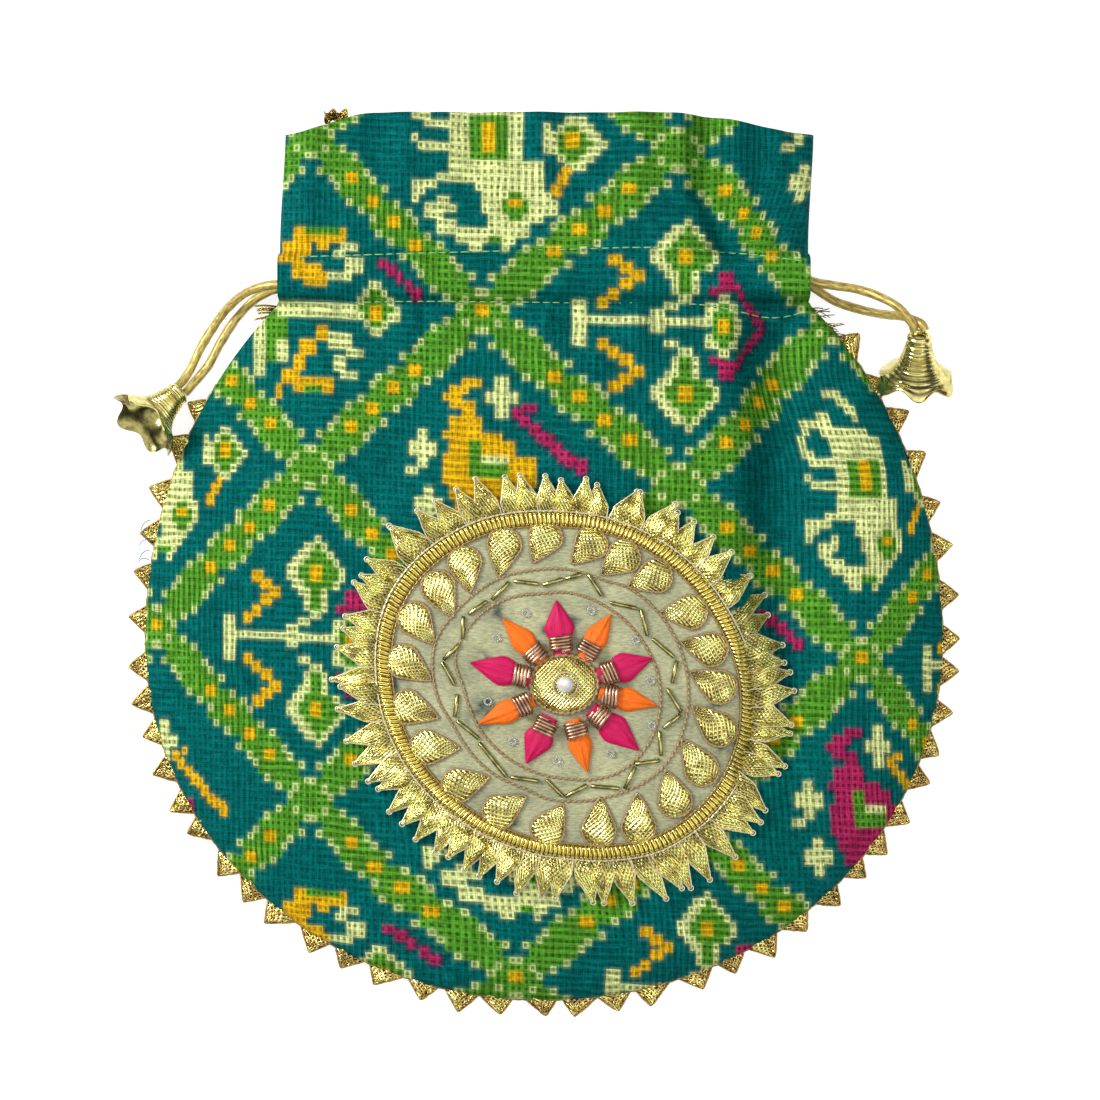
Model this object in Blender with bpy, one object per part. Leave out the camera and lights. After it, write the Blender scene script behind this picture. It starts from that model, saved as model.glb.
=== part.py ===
# Potli bag: a round drawstring pouch with an embroidered medallion, lying flat on its back.
# Metres. +Z is up and out of the front face, +Y runs from the bag's foot to its mouth.
# The origin is at the middle of the bag, on the surface that it lies on.

import math

import bmesh
import bpy
from mathutils import Matrix, Vector
from mathutils.bvhtree import BVHTree

# Cloth outline
BODY_HALF_WIDTH = 0.1083
BODY_CENTRE_Y = -0.0202
BODY_LOWER = 0.0977
BODY_UPPER = 0.1226
NECK_HALF_WIDTH = 0.0717
MOUTH_Y = 0.1225
MOUTH_LEAN = 0.0016
CORNER_DROP = 0.0055

# Cloth, lining and the room between them
CLOTH = 0.0007
LINING = 0.0005
GAP = 0.0003
LINING_SLACK = 0.0009
SEAM_ALLOWANCE = 0.0048
SEAM_HEIGHT = 0.0032
BACK_FLAT = 0.65
MOUTH_LIFT = 0.0015
PUFF = 0.0165
PUFF_FLATNESS = 2.3
PUFF_ROUNDNESS = 0.6
NECK_HEIGHT = 0.0136
MOUTH_HEIGHT = 0.0140
LINING_SETBACK = 0.0016
LINING_REACH = 0.0035
LINING_PINCH = 0.0042
PINCH_FROM = 0.006
PINCH_TO = 0.018

# Casing: the channel between two stitch rows that the drawcords run through
CASING_LOW = 0.0711
CASING_HIGH = 0.0852
CASING_ROOM = 0.0036
CASING_EASE = 0.003
NECK_BLEND = 0.020
CORD_DIAMETER = 0.0024
CORD_POINT_SPACING = 0.0071

# Gathers above and below the casing, and the one deep crease down the right side
GATHER_PITCH = 0.029
GATHER_BELOW = 0.0010
GATHER_REACH = 0.026
GATHER_SHIFT = 0.8
GATHER_SECOND = 2.3
GATHER_ABOVE = 0.0011
EDGE_SHARE = 0.10
CREASE_DEPTH = 0.0026
CREASE_WIDTH = 0.0046
CREASE_RIDGE = 0.4
CREASE_HELD = 0.85
CREASE_ROUTE = [(0.123, 0.0435), (0.104, 0.0424), (0.093, 0.0452), (0.081, 0.0505), (0.069, 0.0600),
                (0.045, 0.0632), (0.018, 0.0628)]

# Ribbon triangles sewn into the edge seam
TRIM_COUNT = 45
TRIM_REACH = 0.0046
TRIM_THICKNESS = 0.0008
TRIM_FOLD = 0.0006
TRIM_TAPE = 0.0034
TRIM_OVERHANG = 0.0004
TRIM_START = math.radians(47)
TRIM_END = math.radians(360 - 56.5)
FOLD_AT = 0.3

# Medallion: an oval, hand-set, so its angles are uneven; angles run clockwise from the mouth side
MEDALLION_X = 0.0056
MEDALLION_Y = -0.0321
MEDALLION_RADIUS = 0.0495
MEDALLION_SQUASH = 0.957
MEDALLION_OVAL = 0.054
MEDALLION_OVAL_AT = math.radians(123)
GROUND_THICKNESS = 0.0006
GROUND_SHARE = 0.94
BRAID_WIDTH = 0.0038
BRAID_THICKNESS = 0.0010
FRINGE_COUNT = 62
FRINGE_LENGTH = 0.0112
FRINGE_FLAT = 0.0006
FRINGE_FOLD = 0.0013
FRINGE_CLEAR = 0.0005
OUTER_THREAD_SHARE = 0.655
INNER_THREAD_SHARE = 0.53
THREAD_THICKNESS = 0.0009
BEAD_COUNT = 26
BEAD_THICKNESS = 0.0008
BEAD_MARGIN = 0.0011
BEAD_SUNK = 0.0002
PETAL_ANGLES = [3, 17, 31, 51, 68, 83, 99, 115, 131, 147, 163, 181, 199, 219, 239, 256, 273, 289, 303,
                316, 330, 346]
PETAL_SWIRL = math.radians(9)
PETAL_LENGTH = 0.0118
PETAL_WIDTH = 0.0062
PETAL_THICKNESS = 0.0006
PETAL_CROWN = 0.0010
LEAF_ANGLES = [354, 32, 68, 100, 133, 168, 206, 245, 283, 319]
LEAF_ROOT = 0.0102
LEAF_TIP_SHARE = 0.475
PINK_LEAF_WIDTH = 0.0080
ORANGE_LEAF_WIDTH = 0.0064
LEAF_THICKNESS = 0.0005
LEAF_CROWN = 0.0007
COIL_WIRE = 0.0010
COIL_TURNS = 4
COIL_WIDTH = 0.0052
DISC_RADIUS_X = 0.0089
DISC_RADIUS_Y = 0.0077
DISC_HEIGHT = 0.0018
PEARL_RADIUS = 0.0023

# Drawcord bells: thin stamped cones with a flared rim of six petals
BELL_LENGTH = 0.0145
BELL_THROAT = 0.0030
BELL_RIM = 0.0090
BELL_WALL = 0.0005
BELL_PETALS = 6
BELL_PETAL_DEPTH = 0.0012
BELL_CROWN = 0.0016
BELL_PROFILE = [(0.0, 1.0), (0.45, 1.45), (0.78, 2.2)]
LEFT_BELL_AT = (-0.0994, 0.0474, 0.0031)
LEFT_BELL_AIM = (-0.646, -0.646, 0.407)
RIGHT_BELL_AT = (0.1010, 0.0622, 0.0162)
RIGHT_BELL_AIM = (-0.02, -0.848, -0.530)

# Drawcord routes, from one end at the bell, once round the neck in the casing, back to the bell
LEFT_CORD = [
    (-0.0998, 0.0490, 0.0027), (-0.0979, 0.0513, 0.0016), (-0.0959, 0.0548, 0.0013), (-0.0938, 0.0592, 0.0013),
    (-0.0906, 0.0645, 0.0016), (-0.0860, 0.0702, 0.0045), (-0.0800, 0.0743, 0.0104), (-0.0725, 0.0760, 0.0138),
    (-0.0640, 0.0760, 0.0142), (-0.0400, 0.0757, 0.0142), (0.0, 0.0757, 0.0142), (0.0400, 0.0757, 0.0142),
    (0.0590, 0.0757, 0.0142), (0.0630, 0.0757, 0.0131), (0.0655, 0.0757, 0.0104), (0.0660, 0.0757, 0.0082),
    (0.0655, 0.0757, 0.0060), (0.0630, 0.0757, 0.0034), (0.0590, 0.0757, 0.0023), (0.0400, 0.0757, 0.0023),
    (0.0, 0.0757, 0.0023), (-0.0400, 0.0757, 0.0023), (-0.0640, 0.0758, 0.0023), (-0.0725, 0.0756, 0.0022),
    (-0.0790, 0.0726, 0.0016), (-0.0842, 0.0672, 0.0013), (-0.0884, 0.0606, 0.0013), (-0.0914, 0.0550, 0.0013),
    (-0.0949, 0.0506, 0.0016), (-0.0978, 0.0471, 0.0027)]
RIGHT_CORD = [
    (0.0996, 0.0634, 0.0171), (0.0985, 0.0658, 0.0180), (0.0949, 0.0699, 0.0173), (0.0900, 0.0729, 0.0141),
    (0.0845, 0.0749, 0.0116), (0.0785, 0.0758, 0.0124), (0.0728, 0.0767, 0.0139), (0.0675, 0.0790, 0.0142),
    (0.0600, 0.0796, 0.0142), (0.0400, 0.0795, 0.0142), (0.0, 0.0795, 0.0142), (-0.0400, 0.0795, 0.0142),
    (-0.0590, 0.0795, 0.0142), (-0.0630, 0.0795, 0.0131), (-0.0655, 0.0795, 0.0104), (-0.0660, 0.0795, 0.0082),
    (-0.0655, 0.0795, 0.0060), (-0.0630, 0.0795, 0.0034), (-0.0590, 0.0795, 0.0023), (-0.0400, 0.0795, 0.0023),
    (0.0, 0.0795, 0.0023), (0.0400, 0.0795, 0.0023), (0.0600, 0.0796, 0.0023), (0.0675, 0.0790, 0.0023),
    (0.0730, 0.0762, 0.0021), (0.0790, 0.0724, 0.0015), (0.0855, 0.0701, 0.0022), (0.0915, 0.0685, 0.0062),
    (0.0970, 0.0674, 0.0130), (0.1012, 0.0654, 0.0170), (0.1024, 0.0634, 0.0171)]

# How finely the cloth is faceted
PANEL_COLUMNS = 22
BODY_ROWS_LOW = 7
BODY_ROWS_HIGH = 9
MOUTH_ROWS = 4
BACK_COLUMNS = 10
LINING_COLUMNS = 10
FIRST_ROW_ANGLE = math.radians(8)

# Colours
TEAL = (0.0, 0.13, 0.15)
GREEN = (0.13, 0.30, 0.05)
GOLD = (0.62, 0.45, 0.10)
PALE_GOLD = (0.75, 0.62, 0.18)
OLD_GOLD = (0.42, 0.26, 0.06)
GROUND = (0.38, 0.35, 0.22)
THREAD = (0.40, 0.26, 0.14)
PINK = (0.62, 0.01, 0.11)
ORANGE = (1.0, 0.19, 0.01)
COPPER = (0.32, 0.14, 0.07)
PEARL = (0.80, 0.78, 0.74)
BRASS = (0.55, 0.48, 0.14)


def clear_scene():
    for item in list(bpy.data.objects):
        bpy.data.objects.remove(item, do_unlink=True)


def material(name, colour, roughness=0.6, metallic=0.0):
    made = bpy.data.materials.new(name)
    made.use_nodes = True
    shader = made.node_tree.nodes["Principled BSDF"]
    shader.inputs["Base Color"].default_value = (*colour, 1.0)
    shader.inputs["Roughness"].default_value = roughness
    shader.inputs["Metallic"].default_value = metallic
    return made


def finish_mesh(name, shape, colour, roughness=0.6, metallic=0.0, sharp=35):
    """Turn a bmesh into a named, outward-facing, smooth-shaded object."""
    bmesh.ops.recalc_face_normals(shape, faces=shape.faces)
    mesh = bpy.data.meshes.new(name)
    shape.to_mesh(mesh)
    shape.free()
    mesh.shade_smooth()
    mesh.set_sharp_from_angle(angle=math.radians(sharp))
    mesh.materials.append(material(name, colour, roughness, metallic))
    item = bpy.data.objects.new(name, mesh)
    bpy.context.scene.collection.objects.link(item)
    return item


def smooth(value, low, high):
    """A soft step from 0 at low to 1 at high."""
    t = min(1.0, max(0.0, (value - low) / (high - low)))
    return t * t * (3 - 2 * t)


def mix(a, b, share):
    return a + (b - a) * share


# The bag's form, as functions of place


def body_reach(y):
    return BODY_UPPER if y > BODY_CENTRE_Y else BODY_LOWER


def half_width(y, inset=0.0):
    """Half the cloth's width at y: an ellipse for the body and a straight neck above it."""
    rise = (y - BODY_CENTRE_Y) / (body_reach(y) - inset)
    body = (BODY_HALF_WIDTH - inset) * math.sqrt(max(0.0, 1 - rise * rise))
    return max(body, NECK_HALF_WIDTH - inset) if y > BODY_CENTRE_Y else body


def centre_x(y):
    """The neck leans a little towards the mouth's right corner."""
    return MOUTH_LEAN * smooth(y, CASING_HIGH, MOUTH_Y)


def casing(y):
    """1 along the middle of the casing, 0 at its stitch rows and beyond them."""
    middle = (CASING_LOW + CASING_HIGH) / 2
    t = (y - middle) / (CASING_HIGH - middle)
    return max(0.0, 1 - t ** 4)


def crease_x(y):
    """Where the deep crease runs at height y."""
    for (y_top, x_top), (y_low, x_low) in zip(CREASE_ROUTE, CREASE_ROUTE[1:]):
        if y >= y_low:
            return mix(x_low, x_top, min(1.0, (y - y_low) / (y_top - y_low)))
    return CREASE_ROUTE[-1][1]


def crease(x, y):
    """Depth of the deep crease, which the casing holds shallow and which fades down the body."""
    lowest = CREASE_ROUTE[-1][0]
    fade = smooth(y, lowest, mix(lowest, CASING_LOW, 0.6))
    held = 1 - CREASE_HELD * smooth(casing(y), 0.0, 0.6)
    ridge = CREASE_RIDGE * math.exp(-((x - crease_x(y) - 2 * CREASE_WIDTH) / CREASE_WIDTH) ** 2)
    valley = math.exp(-((x - crease_x(y)) / CREASE_WIDTH) ** 2)
    return CREASE_DEPTH * fade * held * (valley - ridge)


def gathers(x, y):
    """Soft folds that the drawn casing puts into the cloth below it and into the mouth frill."""
    turn = 2 * math.pi * x / GATHER_PITCH
    wave = math.cos(turn + GATHER_SHIFT) + 0.5 * math.cos(GATHER_SECOND * turn)
    below = GATHER_BELOW * smooth(y, CASING_LOW - GATHER_REACH, CASING_LOW - CASING_EASE)
    below *= 1 - smooth(y, CASING_LOW - CASING_EASE, CASING_LOW)
    above = GATHER_ABOVE * smooth(y, CASING_HIGH, MOUTH_Y)
    return (below + above) * wave


def seam_gap(y):
    """Half the space between the panels at the side seam: the trim's tape fills it below the neck."""
    return mix(TRIM_THICKNESS / 2 + GAP, GAP, smooth(y, CASING_LOW - 2 * CASING_EASE, CASING_LOW))


def base_top(x, y):
    """The front cloth's outer face without the casing's bulge."""
    edge = SEAM_HEIGHT + seam_gap(y) + CLOTH
    rho = math.hypot(x / BODY_HALF_WIDTH, (y - BODY_CENTRE_Y) / body_reach(y))
    puffed = edge + PUFF * max(0.0, 1 - rho ** PUFF_FLATNESS) ** PUFF_ROUNDNESS
    share = min(1.0, abs(x - centre_x(y)) / half_width(y))
    middle = mix(NECK_HEIGHT, MOUTH_HEIGHT, smooth(y, CASING_HIGH, MOUTH_Y))
    held_edge = mix(edge + MOUTH_LIFT * smooth(y, CASING_LOW, CASING_HIGH), middle, smooth(casing(y), 0, 0.8))
    necked = held_edge + (middle - held_edge) * math.sqrt(1 - share ** 8)
    top = mix(puffed, necked, smooth(y, CASING_LOW - NECK_BLEND, CASING_LOW))
    rim = smooth(1 - share, 0.0, EDGE_SHARE)
    return top + rim * (gathers(x, y) - crease(x, y))


def front_top(x, y):
    return base_top(x, y) + CASING_ROOM * casing(y)


def turn_up(share):
    """0 where the back lies flat, rising to 1 at its seam."""
    return max(0.0, min(1.0, share) - BACK_FLAT) ** 3 / (1 - BACK_FLAT) ** 3


def back_top(x, y):
    """The back cloth's inner face: flat on the table, turned up at the seam and lifted at the mouth."""
    rho = math.hypot(x / BODY_HALF_WIDTH, (y - BODY_CENTRE_Y) / body_reach(y))
    share = min(1.0, abs(x - centre_x(y)) / half_width(y))
    turned = mix(turn_up(rho), turn_up(share), smooth(y, CASING_LOW - NECK_BLEND, CASING_LOW))
    edge = SEAM_HEIGHT - seam_gap(y) + MOUTH_LIFT * smooth(y, CASING_LOW, CASING_HIGH)
    edge = mix(edge, CLOTH, smooth(casing(y), 0, 0.8))
    flat = CLOTH + MOUTH_LIFT * smooth(y, CASING_HIGH, mix(CASING_HIGH, MOUTH_Y, 0.6))
    return mix(flat, max(edge, flat), turned)


def row_heights(foot_inset=0.0, mouth_y=MOUTH_Y):
    """The rows of a cloth panel, from the foot to the mouth, closer together in the casing."""
    low = BODY_LOWER - foot_inset
    rows = []
    for i in range(BODY_ROWS_LOW):
        angle = mix(FIRST_ROW_ANGLE, math.pi / 2, i / BODY_ROWS_LOW)
        rows.append(BODY_CENTRE_Y - low * math.cos(angle))
    for i in range(BODY_ROWS_HIGH):
        rows.append(mix(BODY_CENTRE_Y, CASING_LOW, (i / BODY_ROWS_HIGH) ** 0.85))
    rows += [mix(CASING_LOW, CASING_HIGH, i / 4) for i in range(4)]
    rows += [mix(CASING_HIGH, mouth_y, i / MOUTH_ROWS) for i in range(MOUTH_ROWS + 1)]
    return rows


def columns(count):
    """Places across a row from -1 to 1, closer together near the edges."""
    return [0.55 * t + 0.45 * math.sin(t * math.pi / 2) for t in (2 * i / count - 1 for i in range(count + 1))]


def mouth_drop(share, y):
    """The mouth's edge falls away towards its two corners."""
    return CORNER_DROP * smooth(abs(share), 0.45, 1.0) * smooth(y, CASING_HIGH, MOUTH_Y)


def sheet(name, top, bottom, colour, roughness):
    """A closed slab between two grids of points with the same rows and columns."""
    shape = bmesh.new()
    grids = [[[shape.verts.new(p) for p in row] for row in grid] for grid in (top, bottom)]
    rows, cols = len(top), len(top[0])
    for grid in grids:
        for i in range(rows - 1):
            for j in range(cols - 1):
                shape.faces.new((grid[i][j], grid[i][j + 1], grid[i + 1][j + 1], grid[i + 1][j]))
    rim = [(0, j) for j in range(cols)] + [(i, cols - 1) for i in range(1, rows)]
    rim += [(rows - 1, j) for j in range(cols - 2, -1, -1)] + [(i, 0) for i in range(rows - 2, 0, -1)]
    for (i, j), (k, m) in zip(rim, rim[1:] + rim[:1]):
        shape.faces.new((grids[0][i][j], grids[0][k][m], grids[1][k][m], grids[1][i][j]))
    bmesh.ops.triangulate(shape, faces=shape.faces)
    return finish_mesh(name, shape, colour, roughness)


def panel_grid(height, count, rows):
    grid = []
    for y in rows:
        line = []
        for share in columns(count):
            x = centre_x(y) + share * half_width(y)
            line.append((x, y - mouth_drop(share, y), height(x, y)))
        grid.append(line)
    return grid


def front_panel():
    rows = row_heights()
    top = panel_grid(front_top, PANEL_COLUMNS, rows)
    bottom = [[(x, y, z - CLOTH) for x, y, z in row] for row in top]
    return sheet("front_panel", top, bottom, TEAL, 0.75)


def back_panel():
    rows = row_heights()
    mouth = len(rows) - MOUTH_ROWS - 5
    rows = rows[:mouth:2] + rows[mouth:]
    top = panel_grid(back_top, BACK_COLUMNS, rows)
    bottom = [[(x, y, z - CLOTH) for x, y, z in row] for row in top]
    return sheet("back_panel", top, bottom, TEAL, 0.75)


def lining_half_width(y):
    middle = (CASING_LOW + CASING_HIGH) / 2
    near = 1 - smooth(abs(y - middle), PINCH_FROM, PINCH_TO)
    return half_width(y, SEAM_ALLOWANCE) - LINING_PINCH * near


def hug(surface, x, y, reach, down):
    """The panel's inner faces at and around a place, so that the pouch stays clear of folds."""
    heights = []
    for dx in (-2 * reach, -reach, 0.0, reach, 2 * reach):
        for dy in (-reach, 0.0, reach) if y < CASING_LOW - reach else (0.0,):
            start = Vector((x + dx, y + dy, 1.0 if down else -1.0))
            hit = surface.ray_cast(start, Vector((0, 0, -1 if down else 1)))[0]
            if hit:
                heights.append(hit.z)
    return heights


def lining_rows():
    rows = row_heights(SEAM_ALLOWANCE, MOUTH_Y - LINING_SETBACK)
    mouth = len(rows) - MOUTH_ROWS - 5
    return rows[:1] + rows[3:mouth:2] + rows[mouth:]


def lining_rings(thickness, front_face, back_face):
    """Rings of points round the pouch, one a row: the outer face, or the inner one at its thickness."""
    rings = []
    for number, y in enumerate(lining_rows()):
        place = y + thickness if number == 0 else y
        wide = lining_half_width(y)
        front, back = [], []
        for share in columns(LINING_COLUMNS):
            x = centre_x(y) + share * wide
            drop = mouth_drop(share, y)
            high = min(hug(front_face, x, y - drop, LINING_REACH, False)) - LINING_SLACK
            low = max(hug(back_face, x, y - drop, LINING_REACH, True)) + LINING_SLACK
            low += CASING_ROOM * casing(y)
            high -= CASING_ROOM * casing(y)
            middle = (high + low) / 2
            reach = max(LINING * 1.5, (high - low) / 2 * (0.3 + 0.7 * math.sqrt(1 - share ** 6))) - thickness
            inside = centre_x(y) + share * (wide - thickness)
            front.append((inside, place - drop, middle + reach))
            back.append((inside, place - drop, middle - reach))
        rings.append((front, back))
    return rings


def lining(front_face, back_face):
    """The inner pouch: closed at its foot and sides, open at the mouth."""
    shape = bmesh.new()
    loops = []
    for thickness in (0.0, LINING):
        rings = [(list(map(shape.verts.new, front)), list(map(shape.verts.new, back)))
                 for front, back in lining_rings(thickness, front_face, back_face)]
        rounds = [front + back[::-1] for front, back in rings]
        for low, high in zip(rounds, rounds[1:]):
            for j in range(len(low)):
                k = (j + 1) % len(low)
                shape.faces.new((low[j], low[k], high[k], high[j]))
        front, back = rings[0]
        for j in range(len(front) - 1):
            shape.faces.new((front[j], front[j + 1], back[j + 1], back[j]))
        loops.append(rounds[-1])
    outer, inner = loops
    for j in range(len(outer)):
        k = (j + 1) % len(outer)
        shape.faces.new((outer[j], outer[k], inner[k], inner[j]))
    bmesh.ops.triangulate(shape, faces=shape.faces)
    return finish_mesh("lining", shape, GREEN, 0.6)


# The ribbon triangles round the edge


def edge_point(angle, out):
    """A place on the body's outline, moved outwards; the angle runs clockwise from the mouth side."""
    reach = BODY_UPPER if math.cos(angle) > 0 else BODY_LOWER
    x, y = BODY_HALF_WIDTH * math.sin(angle), reach * math.cos(angle)
    normal = Vector((x / BODY_HALF_WIDTH ** 2, y / reach ** 2)).normalized()
    return x + normal.x * out, BODY_CENTRE_Y + y + normal.y * out


def toothed_tape(name, inner, valley, tip, fold, thickness, colour):
    """A tape with a row of folded ribbon triangles: a closed ring where inner and tip are as many."""
    shape = bmesh.new()
    lift = Vector((0, 0, thickness))
    add = shape.verts.new

    def both(points):
        return [(add(p), add(p + lift)) for p in points]

    inside, root, point = both(inner), both(valley), both(tip)
    for i, (p0, p1) in enumerate(point):
        k = (i + 1) % len(inside)
        (a0, a1), (b0, b1), (v0, v1), (w0, w1) = inside[i], inside[k], root[i], root[k]
        crown = add(((v1.co + w1.co) / 2).lerp(p1.co, FOLD_AT) + Vector((0, 0, fold)))
        for face in ((a1, v1, w1, b1), (a0, b0, w0, v0), (v1, p1, crown), (crown, p1, w1), (v1, crown, w1),
                     (v0, w0, p0), (v0, p0, p1, v1), (p0, w0, w1, p1), (b0, a0, a1, b1)):
            shape.faces.new(face)
    if len(inside) > len(point):
        for (a0, a1), (v0, v1) in ((inside[0], root[0]), (inside[-1], root[-1])):
            shape.faces.new((a0, v0, v1, a1))
    bmesh.ops.triangulate(shape, faces=shape.faces)
    return finish_mesh(name, shape, colour, 0.35, 0.8, sharp=20)


def edge_trim():
    step = (TRIM_END - TRIM_START) / TRIM_COUNT
    low = SEAM_HEIGHT - TRIM_THICKNESS / 2

    def place(turn, out):
        x, y = edge_point(TRIM_START + turn * step, out)
        return Vector((x, y, low))

    inner = [place(i, -TRIM_TAPE) for i in range(TRIM_COUNT + 1)]
    valley = [place(i, TRIM_OVERHANG) for i in range(TRIM_COUNT + 1)]
    tip = [place(i + 0.5, TRIM_REACH) for i in range(TRIM_COUNT)]
    return toothed_tape("edge_trim", inner, valley, tip, TRIM_FOLD, TRIM_THICKNESS, OLD_GOLD)


# The medallion


def medallion_radius(angle):
    return MEDALLION_RADIUS * (1 + MEDALLION_OVAL * math.cos(2 * (angle - MEDALLION_OVAL_AT)))


def on_medallion(angle, radius):
    """A place on the medallion from a clockwise angle and a radius in metres."""
    return Vector((MEDALLION_X + radius * math.sin(angle),
                   MEDALLION_Y + radius * math.cos(angle) * MEDALLION_SQUASH))


def resting(surface, place, above=0.0):
    """The point over a place on the cloth, at a height above it."""
    hit = surface.ray_cast(Vector((place.x, place.y, 1.0)), Vector((0, 0, -1)))[0]
    return Vector((place.x, place.y, hit.z + above))


GROUND_LOW = GAP
GROUND_TOP = GROUND_LOW + GROUND_THICKNESS
SECOND_LAYER = GROUND_TOP + GAP


def bead_prism(shape, surface, start, end):
    """One bugle bead as a square rod from start to end, sunk into the ground that carries it."""
    along = (end - start).normalized()
    across = Vector((-along.y, along.x)) * BEAD_THICKNESS / 2
    low, high = GROUND_TOP - BEAD_SUNK, GROUND_TOP + BEAD_THICKNESS
    corners = [start + across, start - across, end - across, end + across]
    base = [shape.verts.new(resting(surface, c, low)) for c in corners]
    top = [shape.verts.new(resting(surface, c, high)) for c in corners]
    shape.faces.new(base[::-1])
    shape.faces.new(top)
    for j in range(4):
        k = (j + 1) % 4
        shape.faces.new((base[j], base[k], top[k], top[j]))


def medallion_beads(surface):
    """The star of bugle beads, laid end to end in a zigzag between the two thread rings."""
    shape = bmesh.new()
    step = 2 * math.pi / BEAD_COUNT

    def corner(number):
        angle = number * step
        share = INNER_THREAD_SHARE if number % 2 else OUTER_THREAD_SHARE
        inward = BEAD_MARGIN if number % 2 else -BEAD_MARGIN
        return on_medallion(angle, medallion_radius(angle) * share + inward)

    for number in range(BEAD_COUNT):
        start, end = corner(number), corner(number + 1)
        trim = (end - start).normalized() * BEAD_THICKNESS * 0.6
        bead_prism(shape, surface, start + trim, end - trim)
    return finish_mesh("beads", shape, GOLD)


def join_shapes(carrier, other):
    """Unite two objects into the carrier with an exact union and remove the other."""
    union = carrier.modifiers.new("union", "BOOLEAN")
    union.operation = "UNION"
    union.solver = "EXACT"
    union.object = other
    other.hide_render = True
    other.display_type = "WIRE"
    other.name = carrier.name + "_beads"


def medallion_ground(surface):
    """The velvet disc, with its star of bugle beads."""
    shape = bmesh.new()
    sectors = 24
    shares = [0.35, 0.70, 1.0]
    layers = []
    for above in (GROUND_LOW, GROUND_TOP):
        middle = shape.verts.new(resting(surface, on_medallion(0, 0), above))
        rings = []
        for share in shares:
            ring = []
            for k in range(sectors):
                angle = 2 * math.pi * k / sectors
                reach = medallion_radius(angle) * GROUND_SHARE * share
                ring.append(shape.verts.new(resting(surface, on_medallion(angle, reach), above)))
            rings.append(ring)
        for k in range(sectors):
            n = (k + 1) % sectors
            shape.faces.new((middle, rings[0][k], rings[0][n]))
            for low, high in zip(rings, rings[1:]):
                shape.faces.new((low[k], high[k], high[n], low[n]))
        layers.append(rings[-1])
    for k in range(sectors):
        n = (k + 1) % sectors
        shape.faces.new((layers[0][k], layers[0][n], layers[1][n], layers[1][k]))
    bmesh.ops.triangulate(shape, faces=shape.faces)
    ground = finish_mesh("medallion_ground", shape, GROUND, 0.8)
    join_shapes(ground, medallion_beads(surface))
    return ground


def medallion_fringe(surface):
    step = 2 * math.pi / FRINGE_COUNT

    def place(turn, out, share=1.0):
        angle = turn * step
        return resting(surface, on_medallion(angle, medallion_radius(angle) * share + out), GROUND_LOW)

    inner = [place(i, FRINGE_CLEAR, GROUND_SHARE) for i in range(FRINGE_COUNT)]
    valley = [place(i, 0) for i in range(FRINGE_COUNT)]
    tip = [place(i + 0.5, FRINGE_LENGTH) for i in range(FRINGE_COUNT)]
    return toothed_tape("medallion_fringe", inner, valley, tip, FRINGE_FOLD, FRINGE_FLAT, PALE_GOLD)


def ring_band(name, surface, radius_of, width, low, thickness, sectors, colour, crown=0.0, metallic=0.7):
    """A closed band round the medallion with a crowned top."""
    shape = bmesh.new()
    profile = [(-width / 2, low), (width / 2, low), (width / 2, low + thickness), (0.0, low + thickness + crown),
               (-width / 2, low + thickness)]
    if not crown:
        del profile[3]
    rings = []
    for k in range(sectors):
        angle = 2 * math.pi * k / sectors
        ring = [resting(surface, on_medallion(angle, radius_of(angle) + out), above) for out, above in profile]
        rings.append([shape.verts.new(p) for p in ring])
    for k in range(sectors):
        now, after = rings[k], rings[(k + 1) % sectors]
        for j in range(len(profile)):
            m = (j + 1) % len(profile)
            shape.faces.new((now[j], now[m], after[m], after[j]))
    bmesh.ops.triangulate(shape, faces=shape.faces)
    return finish_mesh(name, shape, colour, 0.4, metallic)


def braid_ring(surface):
    return ring_band("braid_ring", surface, lambda a: medallion_radius(a) - BRAID_WIDTH / 2, BRAID_WIDTH,
                     SECOND_LAYER, BRAID_THICKNESS, 42, GOLD)


def thread_ring(name, surface, share):
    return ring_band(name, surface, lambda a: medallion_radius(a) * share, THREAD_THICKNESS, SECOND_LAYER,
                     THREAD_THICKNESS, 36, THREAD, metallic=0.2)


def padded_shape(name, surface, outline, centre, low, thickness, crown, colour, roughness, metallic):
    """A flat-bottomed padded shape: a rim of points and a raised middle point."""
    shape = bmesh.new()
    base = [shape.verts.new(resting(surface, p, low)) for p in outline]
    rim = [shape.verts.new(resting(surface, p, low + thickness)) for p in outline]
    middle = shape.verts.new(resting(surface, centre, low + thickness + crown))
    bmesh.ops.triangulate(shape, faces=[shape.faces.new(base[::-1])])
    for j in range(len(outline)):
        k = (j + 1) % len(outline)
        shape.faces.new((base[j], base[k], rim[k], rim[j]))
        shape.faces.new((rim[j], rim[k], middle))
    return finish_mesh(name, shape, colour, roughness, metallic)


# Half outlines as (share of length, share of half-width), from the pointed end to the round one
PETAL_SIDE = [(0.30, 0.50), (0.62, 1.0), (0.88, 0.72)]
LEAF_SIDE = [(0.0, 0.55), (0.40, 1.0), (0.76, 0.42)]


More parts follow.
